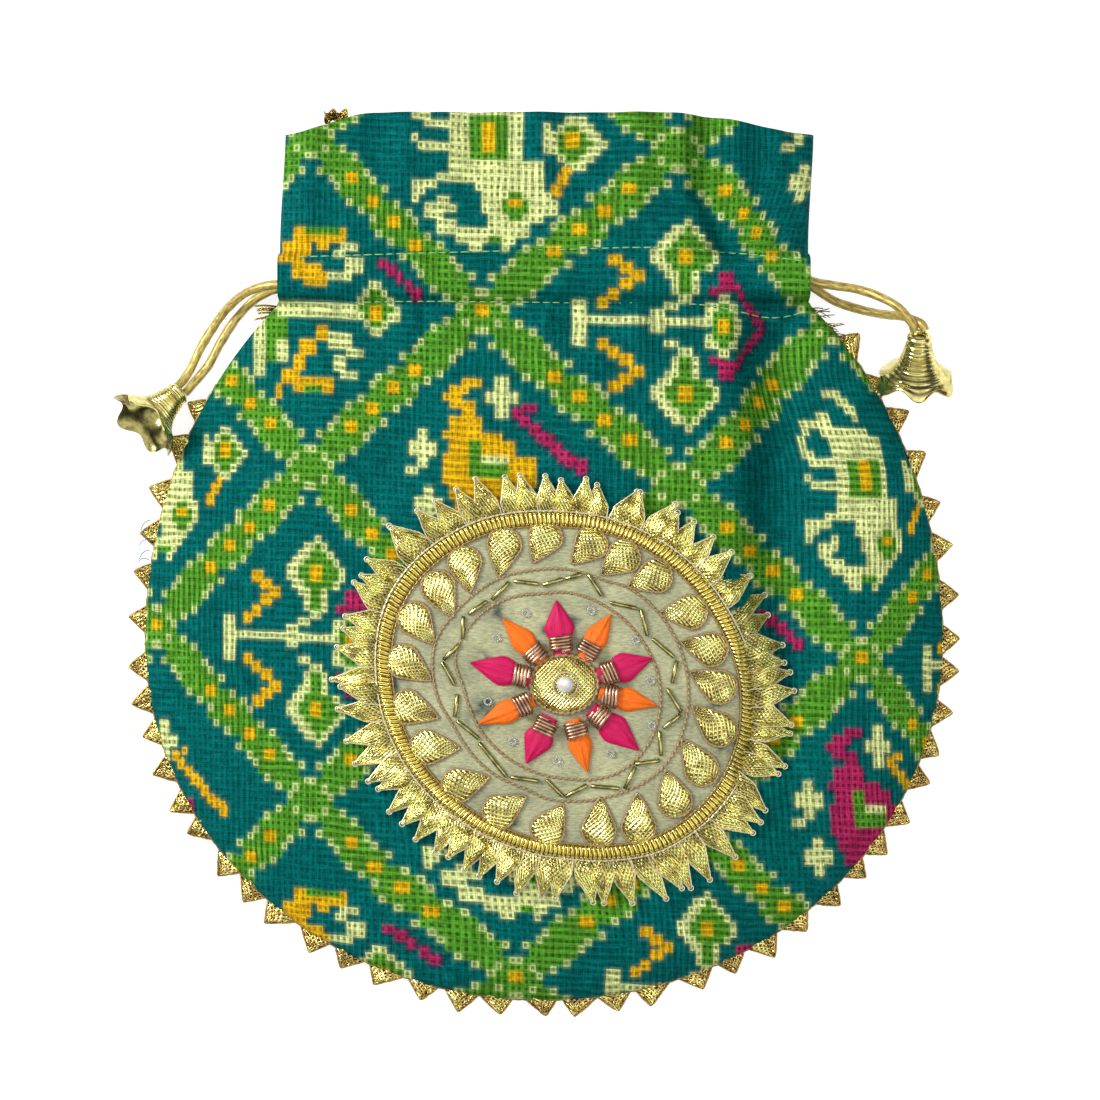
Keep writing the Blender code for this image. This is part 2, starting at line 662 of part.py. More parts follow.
def petal(number, degrees, surface):
    """A teardrop that points at the outer thread ring and swirls outwards."""
    angle = math.radians(degrees)
    start = on_medallion(angle, medallion_radius(angle) * OUTER_THREAD_SHARE + THREAD_THICKNESS / 2 + GAP)
    turned = angle + PETAL_SWIRL
    far = medallion_radius(turned) - BRAID_WIDTH - 2 * GAP
    along = (on_medallion(turned, far) - start)
    length = min(PETAL_LENGTH, along.length - GAP)
    along.normalize()
    across = Vector((-along.y, along.x)) * PETAL_WIDTH / 2
    left = [start + along * length * u + across * v for u, v in PETAL_SIDE]
    right = [start + along * length * u - across * v for u, v in PETAL_SIDE]
    outline = [start] + left + [start + along * length] + right[::-1]
    return padded_shape(f"petal_{number:02d}", surface, outline, start + along * length * 0.6, SECOND_LAYER,
                        PETAL_THICKNESS, PETAL_CROWN, PALE_GOLD, 0.35, 0.8)


def leaf(number, degrees, surface):
    """A folded cloth leaf that points outwards, its root under the coil."""
    angle = math.radians(degrees)
    pink = number % 2 == 1
    start, end = on_medallion(angle, LEAF_ROOT), on_medallion(angle, medallion_radius(angle) * LEAF_TIP_SHARE)
    along = end - start
    length = along.length
    along.normalize()
    width = PINK_LEAF_WIDTH if pink else ORANGE_LEAF_WIDTH
    across = Vector((-along.y, along.x)) * width / 2
    left = [start + along * length * u + across * v for u, v in LEAF_SIDE]
    right = [start + along * length * u - across * v for u, v in LEAF_SIDE]
    outline = left + [end] + right[::-1]
    return padded_shape(f"leaf_{number:02d}", surface, outline, start + along * length * 0.45, SECOND_LAYER,
                        LEAF_THICKNESS, LEAF_CROWN, PINK if pink else ORANGE, 0.55, 0.0)


def coil(number, degrees, surface):
    """Turns of bullion wire laid side by side over the leaf's root."""
    shape = bmesh.new()
    angle = math.radians(degrees)
    outward = on_medallion(angle, 1.0) - on_medallion(angle, 0.0)
    outward.normalize()
    across = Vector((-outward.y, outward.x))
    start = on_medallion(angle, LEAF_ROOT) + outward * GAP
    low = SECOND_LAYER + LEAF_THICKNESS + LEAF_CROWN + GAP
    rows = []
    for turn in range(2 * COIL_TURNS + 1):
        ridge = turn % 2
        rise = low + COIL_WIRE * (1.0 if ridge else 0.55)
        wide = COIL_WIDTH / 2 - COIL_WIRE * (0.0 if ridge else 0.3)
        middle = start + outward * COIL_WIRE * turn / 2
        profile = [(-wide, low), (-wide * 0.82, rise), (wide * 0.82, rise), (wide, low)]
        rows.append([shape.verts.new(resting(surface, middle + across * side, above)) for side, above in profile])
    for first, second in zip(rows, rows[1:]):
        for j in range(4):
            k = (j + 1) % 4
            shape.faces.new((first[j], first[k], second[k], second[j]))
    shape.faces.new(rows[0])
    shape.faces.new(rows[-1])
    bmesh.ops.triangulate(shape, faces=shape.faces)
    return finish_mesh(f"coil_{number:02d}", shape, COPPER, 0.4, 0.6, sharp=60)


def centre_disc(surface):
    """The padded disc in the middle, crowned like a button."""
    shape = bmesh.new()
    sides = 18
    rings = []
    steps = [(1.0, 0.0), (1.0, 0.45), (0.80, 0.85), (0.42, 1.0)]
    for reach, rise in steps:
        ring = []
        for k in range(sides):
            angle = 2 * math.pi * k / sides
            place = Vector((MEDALLION_X + DISC_RADIUS_X * reach * math.sin(angle),
                            MEDALLION_Y + DISC_RADIUS_Y * reach * math.cos(angle)))
            ring.append(shape.verts.new(resting(surface, place, SECOND_LAYER + DISC_HEIGHT * rise)))
        rings.append(ring)
    for low, high in zip(rings, rings[1:]):
        for k in range(sides):
            n = (k + 1) % sides
            shape.faces.new((low[k], low[n], high[n], high[k]))
    shape.faces.new(rings[0][::-1])
    shape.faces.new(rings[-1])
    bmesh.ops.triangulate(shape, faces=shape.faces)
    return finish_mesh("centre_disc", shape, GOLD, 0.4, 0.7)


def centre_pearl(surface):
    """A bead on the disc, flattened a little where it sits."""
    shape = bmesh.new()
    place = Vector((MEDALLION_X, MEDALLION_Y))
    seat = max(resting(surface, place + Vector(step), 0).z for step in ((0, 0), (PEARL_RADIUS, 0), (0, PEARL_RADIUS)))
    low = seat + SECOND_LAYER + DISC_HEIGHT + GAP
    bmesh.ops.create_uvsphere(shape, u_segments=10, v_segments=7, radius=PEARL_RADIUS)
    bmesh.ops.translate(shape, verts=shape.verts, vec=Vector((place.x, place.y, low + PEARL_RADIUS)))
    bmesh.ops.triangulate(shape, faces=shape.faces)
    return finish_mesh("centre_pearl", shape, PEARL, 0.2, 0.0, sharp=80)


# Bells and drawcords


def bell(name, place, aim, roll):
    """A stamped cone: closed at the throat, open at its flared rim of petals."""
    shape = bmesh.new()
    sides = 3 * BELL_PETALS
    rings = []

    def ring(along, radius, wave=0.0, ripple=0.0):
        points = []
        for k in range(sides):
            angle = 2 * math.pi * k / sides
            lobe = math.cos(BELL_PETALS * angle)
            reach = radius + wave * lobe
            points.append(shape.verts.new((reach * math.cos(angle), reach * math.sin(angle), along + ripple * lobe)))
        return points

    for along, radius in BELL_PROFILE:
        rings.append(ring(along * BELL_LENGTH, radius * BELL_THROAT))
    rings.append(ring(BELL_LENGTH - BELL_PETAL_DEPTH, BELL_RIM, BELL_PETAL_DEPTH / 2, BELL_PETAL_DEPTH))
    rings.append(ring(BELL_LENGTH - BELL_PETAL_DEPTH + BELL_WALL, BELL_RIM - BELL_WALL, BELL_PETAL_DEPTH / 2,
                      BELL_PETAL_DEPTH))
    for along, radius in BELL_PROFILE[:0:-1]:
        rings.append(ring(along * BELL_LENGTH + BELL_WALL / 2, radius * BELL_THROAT - BELL_WALL))
    rings.append(ring(BELL_CROWN, BELL_THROAT - BELL_WALL))
    for low, high in zip(rings, rings[1:]):
        for k in range(sides):
            n = (k + 1) % sides
            shape.faces.new((low[k], low[n], high[n], high[k]))
    shape.faces.new(rings[0][::-1])
    shape.faces.new(rings[-1])
    turn = Vector(aim).to_track_quat("Z", "Y").to_matrix().to_4x4()
    bmesh.ops.transform(shape, matrix=Matrix.Translation(place) @ turn @ Matrix.Rotation(roll, 4, "Z"),
                        verts=shape.verts)
    bmesh.ops.triangulate(shape, faces=shape.faces)
    return finish_mesh(name, shape, BRASS, 0.3, 0.9)


def smooth_route(points, spacing):
    """Evenly spaced points read from one smooth curve through the route's own points."""
    knots = [Vector(p) for p in points]
    padded = [2 * knots[0] - knots[1]] + knots + [2 * knots[-1] - knots[-2]]
    fine = []
    for a, b, c, d in zip(padded, padded[1:], padded[2:], padded[3:]):
        for i in range(12):
            t = i / 12
            fine.append(0.5 * (2 * b + (c - a) * t + (2 * a - 5 * b + 4 * c - d) * t * t
                               + (3 * b - a - 3 * c + d) * t ** 3))
    fine.append(knots[-1])
    run = [0.0]
    for a, b in zip(fine, fine[1:]):
        run.append(run[-1] + (b - a).length)
    count = round(run[-1] / spacing)
    even, at = [], 0
    for i in range(count + 1):
        goal = run[-1] * i / count
        while at < len(run) - 2 and run[at + 1] < goal:
            at += 1
        even.append(fine[at].lerp(fine[at + 1], (goal - run[at]) / (run[at + 1] - run[at])))
    return even


def drawcord(name, route):
    curve = bpy.data.curves.new(name, "CURVE")
    curve.dimensions = "3D"
    curve.bevel_depth = CORD_DIAMETER / 2
    curve.bevel_resolution = 2
    curve.use_fill_caps = True
    points = smooth_route(route, CORD_POINT_SPACING)
    line = curve.splines.new("POLY")
    line.points.add(len(points) - 1)
    for slot, place in zip(line.points, points):
        slot.co = (*place, 1.0)
    curve.materials.append(material(name, PALE_GOLD, 0.5, 0.3))
    item = bpy.data.objects.new(name, curve)
    bpy.context.scene.collection.objects.link(item)
    return item


def faces_of(panel):
    """A panel's faces, for seating what is sewn on it or hangs inside it."""
    mesh = panel.data
    corners = [v.co.copy() for v in mesh.vertices]
    return BVHTree.FromPolygons(corners, [tuple(p.vertices) for p in mesh.polygons])


def build():
    clear_scene()
    back_face = faces_of(back_panel())
    surface = faces_of(front_panel())
    lining(surface, back_face)
    edge_trim()
    medallion_ground(surface)
    medallion_fringe(surface)
    braid_ring(surface)
    thread_ring("thread_ring_outer", surface, OUTER_THREAD_SHARE)
    thread_ring("thread_ring_inner", surface, INNER_THREAD_SHARE)
    for number, degrees in enumerate(PETAL_ANGLES, 1):
        petal(number, degrees, surface)
    for number, degrees in enumerate(LEAF_ANGLES, 1):
        leaf(number, degrees, surface)
        coil(number, degrees, surface)
    centre_disc(surface)
    centre_pearl(surface)
    bell("bell_left", LEFT_BELL_AT, LEFT_BELL_AIM, 0.0)
    bell("bell_right", RIGHT_BELL_AT, RIGHT_BELL_AIM, math.pi / BELL_PETALS)
    drawcord("drawcord_left", LEFT_CORD)
    drawcord("drawcord_right", RIGHT_CORD)


build()
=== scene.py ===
import math
import random

import bpy
from mathutils import Matrix, Vector, noise


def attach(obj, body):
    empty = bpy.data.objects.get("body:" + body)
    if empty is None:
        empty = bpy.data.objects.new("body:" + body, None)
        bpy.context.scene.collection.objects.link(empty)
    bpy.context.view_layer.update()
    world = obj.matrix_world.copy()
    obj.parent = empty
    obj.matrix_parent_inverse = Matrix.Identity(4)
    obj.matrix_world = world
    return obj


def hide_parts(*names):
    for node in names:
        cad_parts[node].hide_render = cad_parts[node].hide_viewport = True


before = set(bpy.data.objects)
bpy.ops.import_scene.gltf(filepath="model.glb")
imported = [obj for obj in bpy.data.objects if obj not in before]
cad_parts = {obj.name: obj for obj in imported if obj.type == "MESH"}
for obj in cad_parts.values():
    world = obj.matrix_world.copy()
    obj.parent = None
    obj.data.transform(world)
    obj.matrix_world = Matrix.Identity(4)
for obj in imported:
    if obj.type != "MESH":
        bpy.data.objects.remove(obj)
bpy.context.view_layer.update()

# The bag's form: the same named sizes and functions as the solids have, in metres
BODY_HALF_WIDTH = 0.1083
BODY_CENTRE_Y = -0.0202
BODY_LOWER = 0.0977
BODY_UPPER = 0.1226
NECK_HALF_WIDTH = 0.0717
MOUTH_Y = 0.1225
MOUTH_LEAN = 0.0016
CORNER_DROP = 0.0055
CLOTH = 0.0007
GAP = 0.0003
SEAM_HEIGHT = 0.0032
BACK_FLAT = 0.65
MOUTH_LIFT = 0.0015
PUFF = 0.0165
PUFF_FLATNESS = 2.3
PUFF_ROUNDNESS = 0.6
NECK_HEIGHT = 0.0136
MOUTH_HEIGHT = 0.0140
CASING_LOW = 0.0711
CASING_HIGH = 0.0852
CASING_ROOM = 0.0036
CASING_EASE = 0.003
NECK_BLEND = 0.020
GATHER_PITCH = 0.029
GATHER_BELOW = 0.0010
GATHER_REACH = 0.026
GATHER_SHIFT = 0.8
GATHER_SECOND = 2.3
GATHER_ABOVE = 0.0011
EDGE_SHARE = 0.10
CREASE_DEPTH = 0.0026
CREASE_WIDTH = 0.0046
CREASE_RIDGE = 0.4
CREASE_HELD = 0.85
CREASE_ROUTE = [(0.123, 0.0435), (0.104, 0.0424), (0.093, 0.0452), (0.081, 0.0505), (0.069, 0.0600),
                (0.045, 0.0632), (0.018, 0.0628)]
TRIM_THICKNESS = 0.0008
TRIM_COUNT = 45
TRIM_START = math.radians(47)
TRIM_END = math.radians(360 - 56.5)
MEDALLION = (0.0057, -0.0322)
MEDALLION_SQUASH = 0.957
CORD_DIAMETER = 0.0024

# The photograph's frame: one pixel is this many metres at the bag, and this pixel is the origin
PIXEL = 0.00027
PIXEL_X = 544
PIXEL_Y = 566.5
IMAGE = 1100

# The drawcords, from one end in the bell to the other, and the far turn inside the casing as (x, z)
CORD_OVER, CORD_UNDER = 0.0142, 0.0023
CORD_TURN = [(0.0590, CORD_OVER), (0.0630, 0.0131), (0.0655, 0.0104), (0.0660, 0.0082), (0.0655, 0.0060),
             (0.0630, 0.0034), (0.0590, CORD_UNDER)]


def round_neck(side, y):
    """A drawcord's hidden stretch: over the neck, round its far side and back under it."""
    across = (-0.0400, 0.0, 0.0400)
    return [(side * x, y, z) for x, z in [(x, CORD_OVER) for x in across] + CORD_TURN
            + [(x, CORD_UNDER) for x in across[::-1]]]


LEFT_CORD = [
    (-0.0998, 0.0490, 0.0027), (-0.0979, 0.0513, 0.0016), (-0.0959, 0.0548, 0.0013), (-0.0938, 0.0592, 0.0013),
    (-0.0906, 0.0645, 0.0016), (-0.0860, 0.0702, 0.0045), (-0.0800, 0.0743, 0.0104), (-0.0725, 0.0760, 0.0138),
    (-0.0640, 0.0760, 0.0142), *round_neck(1, 0.0757), (-0.0640, 0.0758, 0.0023), (-0.0725, 0.0756, 0.0022),
    (-0.0790, 0.0726, 0.0016), (-0.0842, 0.0672, 0.0013), (-0.0884, 0.0606, 0.0013), (-0.0914, 0.0550, 0.0013),
    (-0.0949, 0.0506, 0.0016), (-0.0978, 0.0471, 0.0027)]
RIGHT_CORD = [
    (0.0996, 0.0634, 0.0171), (0.0985, 0.0658, 0.0180), (0.0949, 0.0699, 0.0173), (0.0900, 0.0729, 0.0141),
    (0.0845, 0.0749, 0.0116), (0.0785, 0.0758, 0.0124), (0.0728, 0.0767, 0.0139), (0.0675, 0.0790, 0.0142),
    (0.0600, 0.0796, 0.0142), *round_neck(-1, 0.0795), (0.0600, 0.0796, 0.0023), (0.0675, 0.0790, 0.0023),
    (0.0730, 0.0762, 0.0021), (0.0790, 0.0724, 0.0015), (0.0855, 0.0701, 0.0022), (0.0915, 0.0685, 0.0062),
    (0.0970, 0.0674, 0.0130), (0.1012, 0.0654, 0.0170), (0.1024, 0.0634, 0.0171)]
LEFT_BELL_AT = (-0.0994, 0.0474, 0.0031)
LEFT_BELL_AIM = (-0.646, -0.646, 0.407)
RIGHT_BELL_AT = (0.1010, 0.0622, 0.0162)
RIGHT_BELL_AIM = (-0.02, -0.848, -0.530)
BELL_LENGTH = 0.0145
BELL_THROAT = 0.0030
BELL_WALL = 0.0005
BELL_PETALS = 6

rand = random.Random(7)


# Camera, floor and light


def spot(px, py, z=0.0):
    """The place in metres of a pixel of the photograph."""
    return Vector(((px - PIXEL_X) * PIXEL, (PIXEL_Y - py) * PIXEL, z))


CAMERA_HEIGHT = 1.10
FRAME_LEVEL = 0.012
FLOOR_GLOW = 0.80
FLOOR_SHADE = 0.42
# The room's light by height, from straight below to straight above: dark walls for the gold to mirror
ROOM_LIGHT = [(0.06, 1.0), (0.12, 0.05), (0.42, 0.10), (0.64, 0.85), (0.94, 2.0)]
ROOM_STRENGTH = 0.60


def add_camera():
    bpy.context.scene.view_settings.view_transform = "Standard"
    data = bpy.data.cameras.new("camera")
    data.sensor_width = 36
    data.lens = 36 * CAMERA_HEIGHT / (IMAGE * PIXEL)
    camera = bpy.data.objects.new("camera", data)
    camera.location = spot(IMAGE / 2, IMAGE / 2, CAMERA_HEIGHT + FRAME_LEVEL)
    bpy.context.scene.collection.objects.link(camera)
    bpy.context.scene.camera = camera


def add(tree, kind, inputs=None, **settings):
    """Add a shader node, set its settings and fill or link its inputs."""
    node = tree.nodes.new("ShaderNode" + kind)
    for key, value in settings.items():
        setattr(node, key, value)
    for key, value in (inputs or {}).items():
        if isinstance(value, bpy.types.NodeSocket):
            tree.links.new(value, node.inputs[key])
        else:
            node.inputs[key].default_value = value
    return node


def ramp_colour(tree, factor, stops):
    """The colour of a ramp through (place, colour) stops."""
    node = add(tree, "ValToRGB", {"Fac": factor})
    elements = node.color_ramp.elements
    while len(elements) < len(stops):
        elements.new(0.5)
    for element, (place, colour) in zip(elements, stops):
        element.position = place
        element.color = (*colour, 1)
    return node.outputs["Color"]


def area_light(name, place, size, power):
    """A lamp that points at the bag's middle."""
    data = bpy.data.lights.new(name, "AREA")
    data.shape = "RECTANGLE"
    data.size, data.size_y = size
    data.energy = power
    light = bpy.data.objects.new(name, data)
    light.location = place
    light.rotation_euler = (-Vector(place)).to_track_quat("-Z", "Y").to_euler()
    bpy.context.scene.collection.objects.link(light)


def add_world():
    world = bpy.data.worlds.new("studio")
    bpy.context.scene.world = world
    world.use_nodes = True
    tree = world.node_tree
    tree.nodes.clear()
    where = add(tree, "TexCoord")
    split = add(tree, "SeparateXYZ", {"Vector": where.outputs["Generated"]})
    light = ramp_colour(tree, split.outputs["Z"], [(place, (level,) * 3) for place, level in ROOM_LIGHT])
    room = add(tree, "Background", {"Color": light, "Strength": ROOM_STRENGTH})
    white = add(tree, "Background", {"Color": (1, 1, 1, 1), "Strength": 1.0})
    seen = add(tree, "LightPath")
    direct = add(tree, "Math", {0: seen.outputs["Is Camera Ray"], 1: seen.outputs["Is Transmission Ray"]},
                 operation="MAXIMUM")
    both = add(tree, "MixShader", {"Fac": direct.outputs[0], 1: room.outputs[0], 2: white.outputs[0]})
    out = tree.nodes.new("ShaderNodeOutputWorld")
    tree.links.new(both.outputs[0], out.inputs["Surface"])


def seen_ray(tree):
    """1 for rays that show the backdrop: straight from the camera, mirrored or seen through glass."""
    path = add(tree, "LightPath")
    first = add(tree, "Math", {0: path.outputs["Is Camera Ray"], 1: path.outputs["Is Glossy Ray"]},
                operation="MAXIMUM")
    return add(tree, "Math", {0: first.outputs[0], 1: path.outputs["Is Transmission Ray"]},
               operation="MAXIMUM").outputs[0]


def add_floor():
    bpy.ops.mesh.primitive_plane_add(size=4, location=(0, 0, -0.0002))
    floor = bpy.context.object
    floor.name = "floor"
    made = bpy.data.materials.new("floor_white")
    made.use_nodes = True
    shader = made.node_tree.nodes["Principled BSDF"]
    shader.inputs["Base Color"].default_value = (0.93, 0.93, 0.93, 1)
    shader.inputs["Roughness"].default_value = 0.8
    shader.inputs["Specular IOR Level"].default_value = 0.1
    tree = made.node_tree
    glow = add(tree, "Emission", {"Color": (1, 1, 1, 1), "Strength": FLOOR_GLOW})
    shade = add(tree, "BsdfDiffuse", {"Color": (FLOOR_SHADE, FLOOR_SHADE, FLOOR_SHADE, 1)})
    backdrop = add(tree, "AddShader", {0: glow.outputs[0], 1: shade.outputs[0]})
    both = add(tree, "MixShader", {"Fac": seen_ray(tree), 1: shader.outputs[0], 2: backdrop.outputs[0]})
    tree.links.new(both.outputs[0], tree.nodes["Material Output"].inputs["Surface"])
    floor.data.materials.append(made)


add_camera()
add_world()
add_floor()
area_light("key", (-0.95, 0.45, 0.80), (0.45, 0.45), 15)
area_light("fill", (0.85, -0.35, 0.95), (0.9, 0.7), 3)


# Number helpers


def smooth(value, low, high):
    """0 below low, 1 above high, and an eased rise between."""
    t = min(1.0, max(0.0, (value - low) / (high - low)))
    return t * t * (3 - 2 * t)


def mix(a, b, share):
    return a + (b - a) * share


def along_knots(knots, value, turn=None):
    """A smooth reading between given (place, value) knots; turn makes them go round."""
    if turn:
        value %= turn
        knots = [(knots[-1][0] - turn, knots[-1][1])] + knots + [(k[0] + turn, k[1]) for k in knots[:2]]
    places = [k[0] for k in knots]
    i = 0
    while i < len(knots) - 2 and value > places[i + 1]:
        i += 1

    def slope(n):
        a, b = max(0, n - 1), min(len(knots) - 1, n + 1)
        return (knots[b][1] - knots[a][1]) / (knots[b][0] - knots[a][0])

    h = places[i + 1] - places[i]
    t = (value - places[i]) / h
    return ((2 * t ** 3 - 3 * t * t + 1) * knots[i][1] + (t ** 3 - 2 * t * t + t) * h * slope(i)
            + (3 * t * t - 2 * t ** 3) * knots[i + 1][1] + (t ** 3 - t * t) * h * slope(i + 1))


# The form, as the solids have it


def body_reach(y):
    return BODY_UPPER if y > BODY_CENTRE_Y else BODY_LOWER


def half_width(y):
    rise = (y - BODY_CENTRE_Y) / body_reach(y)
    body = BODY_HALF_WIDTH * math.sqrt(max(0.0, 1 - rise * rise))
    return max(body, NECK_HALF_WIDTH) if y > BODY_CENTRE_Y else body


def centre_x(y):
    return MOUTH_LEAN * smooth(y, CASING_HIGH, MOUTH_Y)


def casing(y):
    """1 in the casing's middle and 0 outside it."""
    middle = (CASING_LOW + CASING_HIGH) / 2
    t = (y - middle) / (CASING_HIGH - middle)
    return max(0.0, 1 - t ** 4)


def crease_x(y):
    for (y_top, x_top), (y_low, x_low) in zip(CREASE_ROUTE, CREASE_ROUTE[1:]):
        if y >= y_low:
            return mix(x_low, x_top, min(1.0, (y - y_low) / (y_top - y_low)))
    return CREASE_ROUTE[-1][1]


def crease(x, y):
    """The depth of the pull crease beside the right drawcord, with the ridge along it."""
    lowest = CREASE_ROUTE[-1][0]
    fade = smooth(y, lowest, mix(lowest, CASING_LOW, 0.6))
    held = 1 - CREASE_HELD * smooth(casing(y), 0.0, 0.6)
    ridge = CREASE_RIDGE * math.exp(-((x - crease_x(y) - 2 * CREASE_WIDTH) / CREASE_WIDTH) ** 2)
    valley = math.exp(-((x - crease_x(y)) / CREASE_WIDTH) ** 2)
    return CREASE_DEPTH * fade * held * (valley - ridge)


def gathers(x, y):
    """The waves that the drawn casing leaves in the cloth below and above it."""
    turn = 2 * math.pi * x / GATHER_PITCH
    wave = math.cos(turn + GATHER_SHIFT) + 0.5 * math.cos(GATHER_SECOND * turn)
    below = GATHER_BELOW * smooth(y, CASING_LOW - GATHER_REACH, CASING_LOW - CASING_EASE)
    below *= 1 - smooth(y, CASING_LOW - CASING_EASE, CASING_LOW)
    above = GATHER_ABOVE * smooth(y, CASING_HIGH, MOUTH_Y)
    return (below + above) * wave


def seam_gap(y):
    return mix(TRIM_THICKNESS / 2 + GAP, GAP, smooth(y, CASING_LOW - 2 * CASING_EASE, CASING_LOW))


def base_top(x, y):
    """The front cloth's outer face, as the solid has it."""
    edge = SEAM_HEIGHT + seam_gap(y) + CLOTH
    rho = math.hypot(x / BODY_HALF_WIDTH, (y - BODY_CENTRE_Y) / body_reach(y))
    puffed = edge + PUFF * max(0.0, 1 - rho ** PUFF_FLATNESS) ** PUFF_ROUNDNESS
    share = min(1.0, abs(x - centre_x(y)) / half_width(y))
    middle = mix(NECK_HEIGHT, MOUTH_HEIGHT, smooth(y, CASING_HIGH, MOUTH_Y))
    held_edge = mix(edge + MOUTH_LIFT * smooth(y, CASING_LOW, CASING_HIGH), middle, smooth(casing(y), 0, 0.8))
    necked = held_edge + (middle - held_edge) * math.sqrt(1 - share ** 8)
    top = mix(puffed, necked, smooth(y, CASING_LOW - NECK_BLEND, CASING_LOW))
    rim = smooth(1 - share, 0.0, EDGE_SHARE)
    return top + rim * (gathers(x, y) - crease(x, y))


# Soft valleys of the cloth: points down each one as (y, x), depth, width to the left and to the right
VALLEYS = [
    ([(0.126, 0.0432), (0.104, 0.0424), (0.0935, 0.0468), (0.086, 0.0490), (0.079, 0.0530), (0.072, 0.0590),
      (0.066, 0.0680), (0.058, 0.0760)], 0.0032, 0.0026, 0.0055),
    ([(0.071, 0.0560), (0.060, 0.0578), (0.040, 0.0598), (0.018, 0.0602), (-0.010, 0.0590), (-0.045, 0.0560),
      (-0.062, 0.0540)], 0.0082, 0.0052, 0.0165),
    ([(0.070, 0.0180), (0.050, 0.0200), (0.030, 0.0190)], 0.0009, 0.0050, 0.0070),
    ([(0.071, -0.0300), (0.050, -0.0330), (0.026, -0.0420), (0.004, -0.0500)], 0.0010, 0.0060, 0.0080),
    ([(0.070, -0.0620), (0.048, -0.0760), (0.030, -0.0840), (0.008, -0.0870)], 0.0011, 0.0050, 0.0070),
    ([(0.124, -0.0560), (0.108, -0.0590), (0.088, -0.0600)], 0.0011, 0.0030, 0.0060),
    ([(0.124, -0.0120), (0.110, -0.0090), (0.088, -0.0110)], 0.0008, 0.0040, 0.0070),
    ([(0.124, 0.0600), (0.108, 0.0580), (0.090, 0.0610)], 0.0009, 0.0030, 0.0040),
    ([(-0.060, 0.0330), (-0.080, 0.0250), (-0.100, 0.0200)], 0.0009, 0.0070, 0.0080),
    ([(-0.020, -0.0780), (-0.050, -0.0740), (-0.080, -0.0560)], 0.0009, 0.0060, 0.0080)]


VALLEY_HELD = 0.85
VALLEY_END = 0.012


def valleys(x, y):
    depth = 0.0
    for route, deep, left, right in VALLEYS:
        if route[0][0] >= y >= route[-1][0]:
            off = x - along_knots(route[::-1], y)
            end = min(route[0][0] - y, y - route[-1][0]) / VALLEY_END
            shape = math.exp(-(off / (left if off < 0 else right)) ** 2)
            depth += deep * smooth(end, 0, 1) * shape
    return depth * (1 - VALLEY_HELD * casing(y))


def fine_folds(x, y):
    """Small folds that the solids leave out: puckers at the edging and under the stitch rows."""
    rho = math.hypot(x / BODY_HALF_WIDTH, (y - BODY_CENTRE_Y) / body_reach(y))
    lift = 0.0
    if y < CASING_LOW:
        angle = math.atan2(x, y - BODY_CENTRE_Y)
        turns = TRIM_COUNT / (TRIM_END - TRIM_START)
        near = smooth(rho, 0.86, 0.985) * (1 - smooth(rho, 0.985, 1.0))
        lift += 0.00035 * near * math.cos(2 * math.pi * turns * angle + 0.7 * math.sin(5 * angle))
        under = smooth(y, CASING_LOW - 0.014, CASING_LOW - 0.002) * (1 - smooth(y, CASING_LOW - 0.002, CASING_LOW))
        lift += 0.00030 * under * math.sin(x / 0.0009 + 3 * math.sin(x / 0.007))
    if y > CASING_HIGH:
        over = 1 - smooth(y, CASING_HIGH + 0.001, CASING_HIGH + 0.012)
        lift += 0.00025 * over * math.sin(x / 0.0010 + 3 * math.sin(x / 0.006))
    off_disc = smooth(math.hypot(x - MEDALLION[0], y - MEDALLION[1]), 0.040, 0.060)
    lift -= valleys(x, y) * off_disc * (1 - smooth(rho, 0.93, 1.0) * (y < CASING_LOW))
    uneven = noise.noise(Vector((x / 0.022, y / 0.040, 0.3)))
    lift += 0.0009 * uneven * (1 - smooth(rho, 0.9, 1.0)) * (0.3 + 0.7 * off_disc)
    lift += 0.00025 * noise.noise(Vector((x / 0.008, y / 0.014, 4.0))) * (1 - smooth(rho, 0.93, 1.0))
    return lift


def front_top(x, y):
    return base_top(x, y) + CASING_ROOM * casing(y) + fine_folds(x, y)


def turn_up(share):
    return max(0.0, min(1.0, share) - BACK_FLAT) ** 3 / (1 - BACK_FLAT) ** 3


def back_low(x, y):
    """The back cloth's outer face."""
    rho = math.hypot(x / BODY_HALF_WIDTH, (y - BODY_CENTRE_Y) / body_reach(y))
    share = min(1.0, abs(x - centre_x(y)) / half_width(y))
    turned = mix(turn_up(rho), turn_up(share), smooth(y, CASING_LOW - NECK_BLEND, CASING_LOW))
    edge = SEAM_HEIGHT - seam_gap(y) + MOUTH_LIFT * smooth(y, CASING_LOW, CASING_HIGH)
    edge = mix(edge, CLOTH, smooth(casing(y), 0, 0.8))
    flat = CLOTH + MOUTH_LIFT * smooth(y, CASING_HIGH, mix(CASING_HIGH, MOUTH_Y, 0.6))
    return mix(flat, max(edge, flat), turned) - CLOTH


def mouth_line(x):
    """Where the mouth's edge runs: it falls away towards the two corners."""
    share = min(1.0, abs(x - MOUTH_LEAN) / NECK_HALF_WIDTH)
    return MOUTH_Y - CORNER_DROP * smooth(share, 0.65 if x < 0 else 0.45, 1.0)


NECK_ROOT = BODY_CENTRE_Y + BODY_UPPER * math.sqrt(1 - (NECK_HALF_WIDTH / BODY_HALF_WIDTH) ** 2)


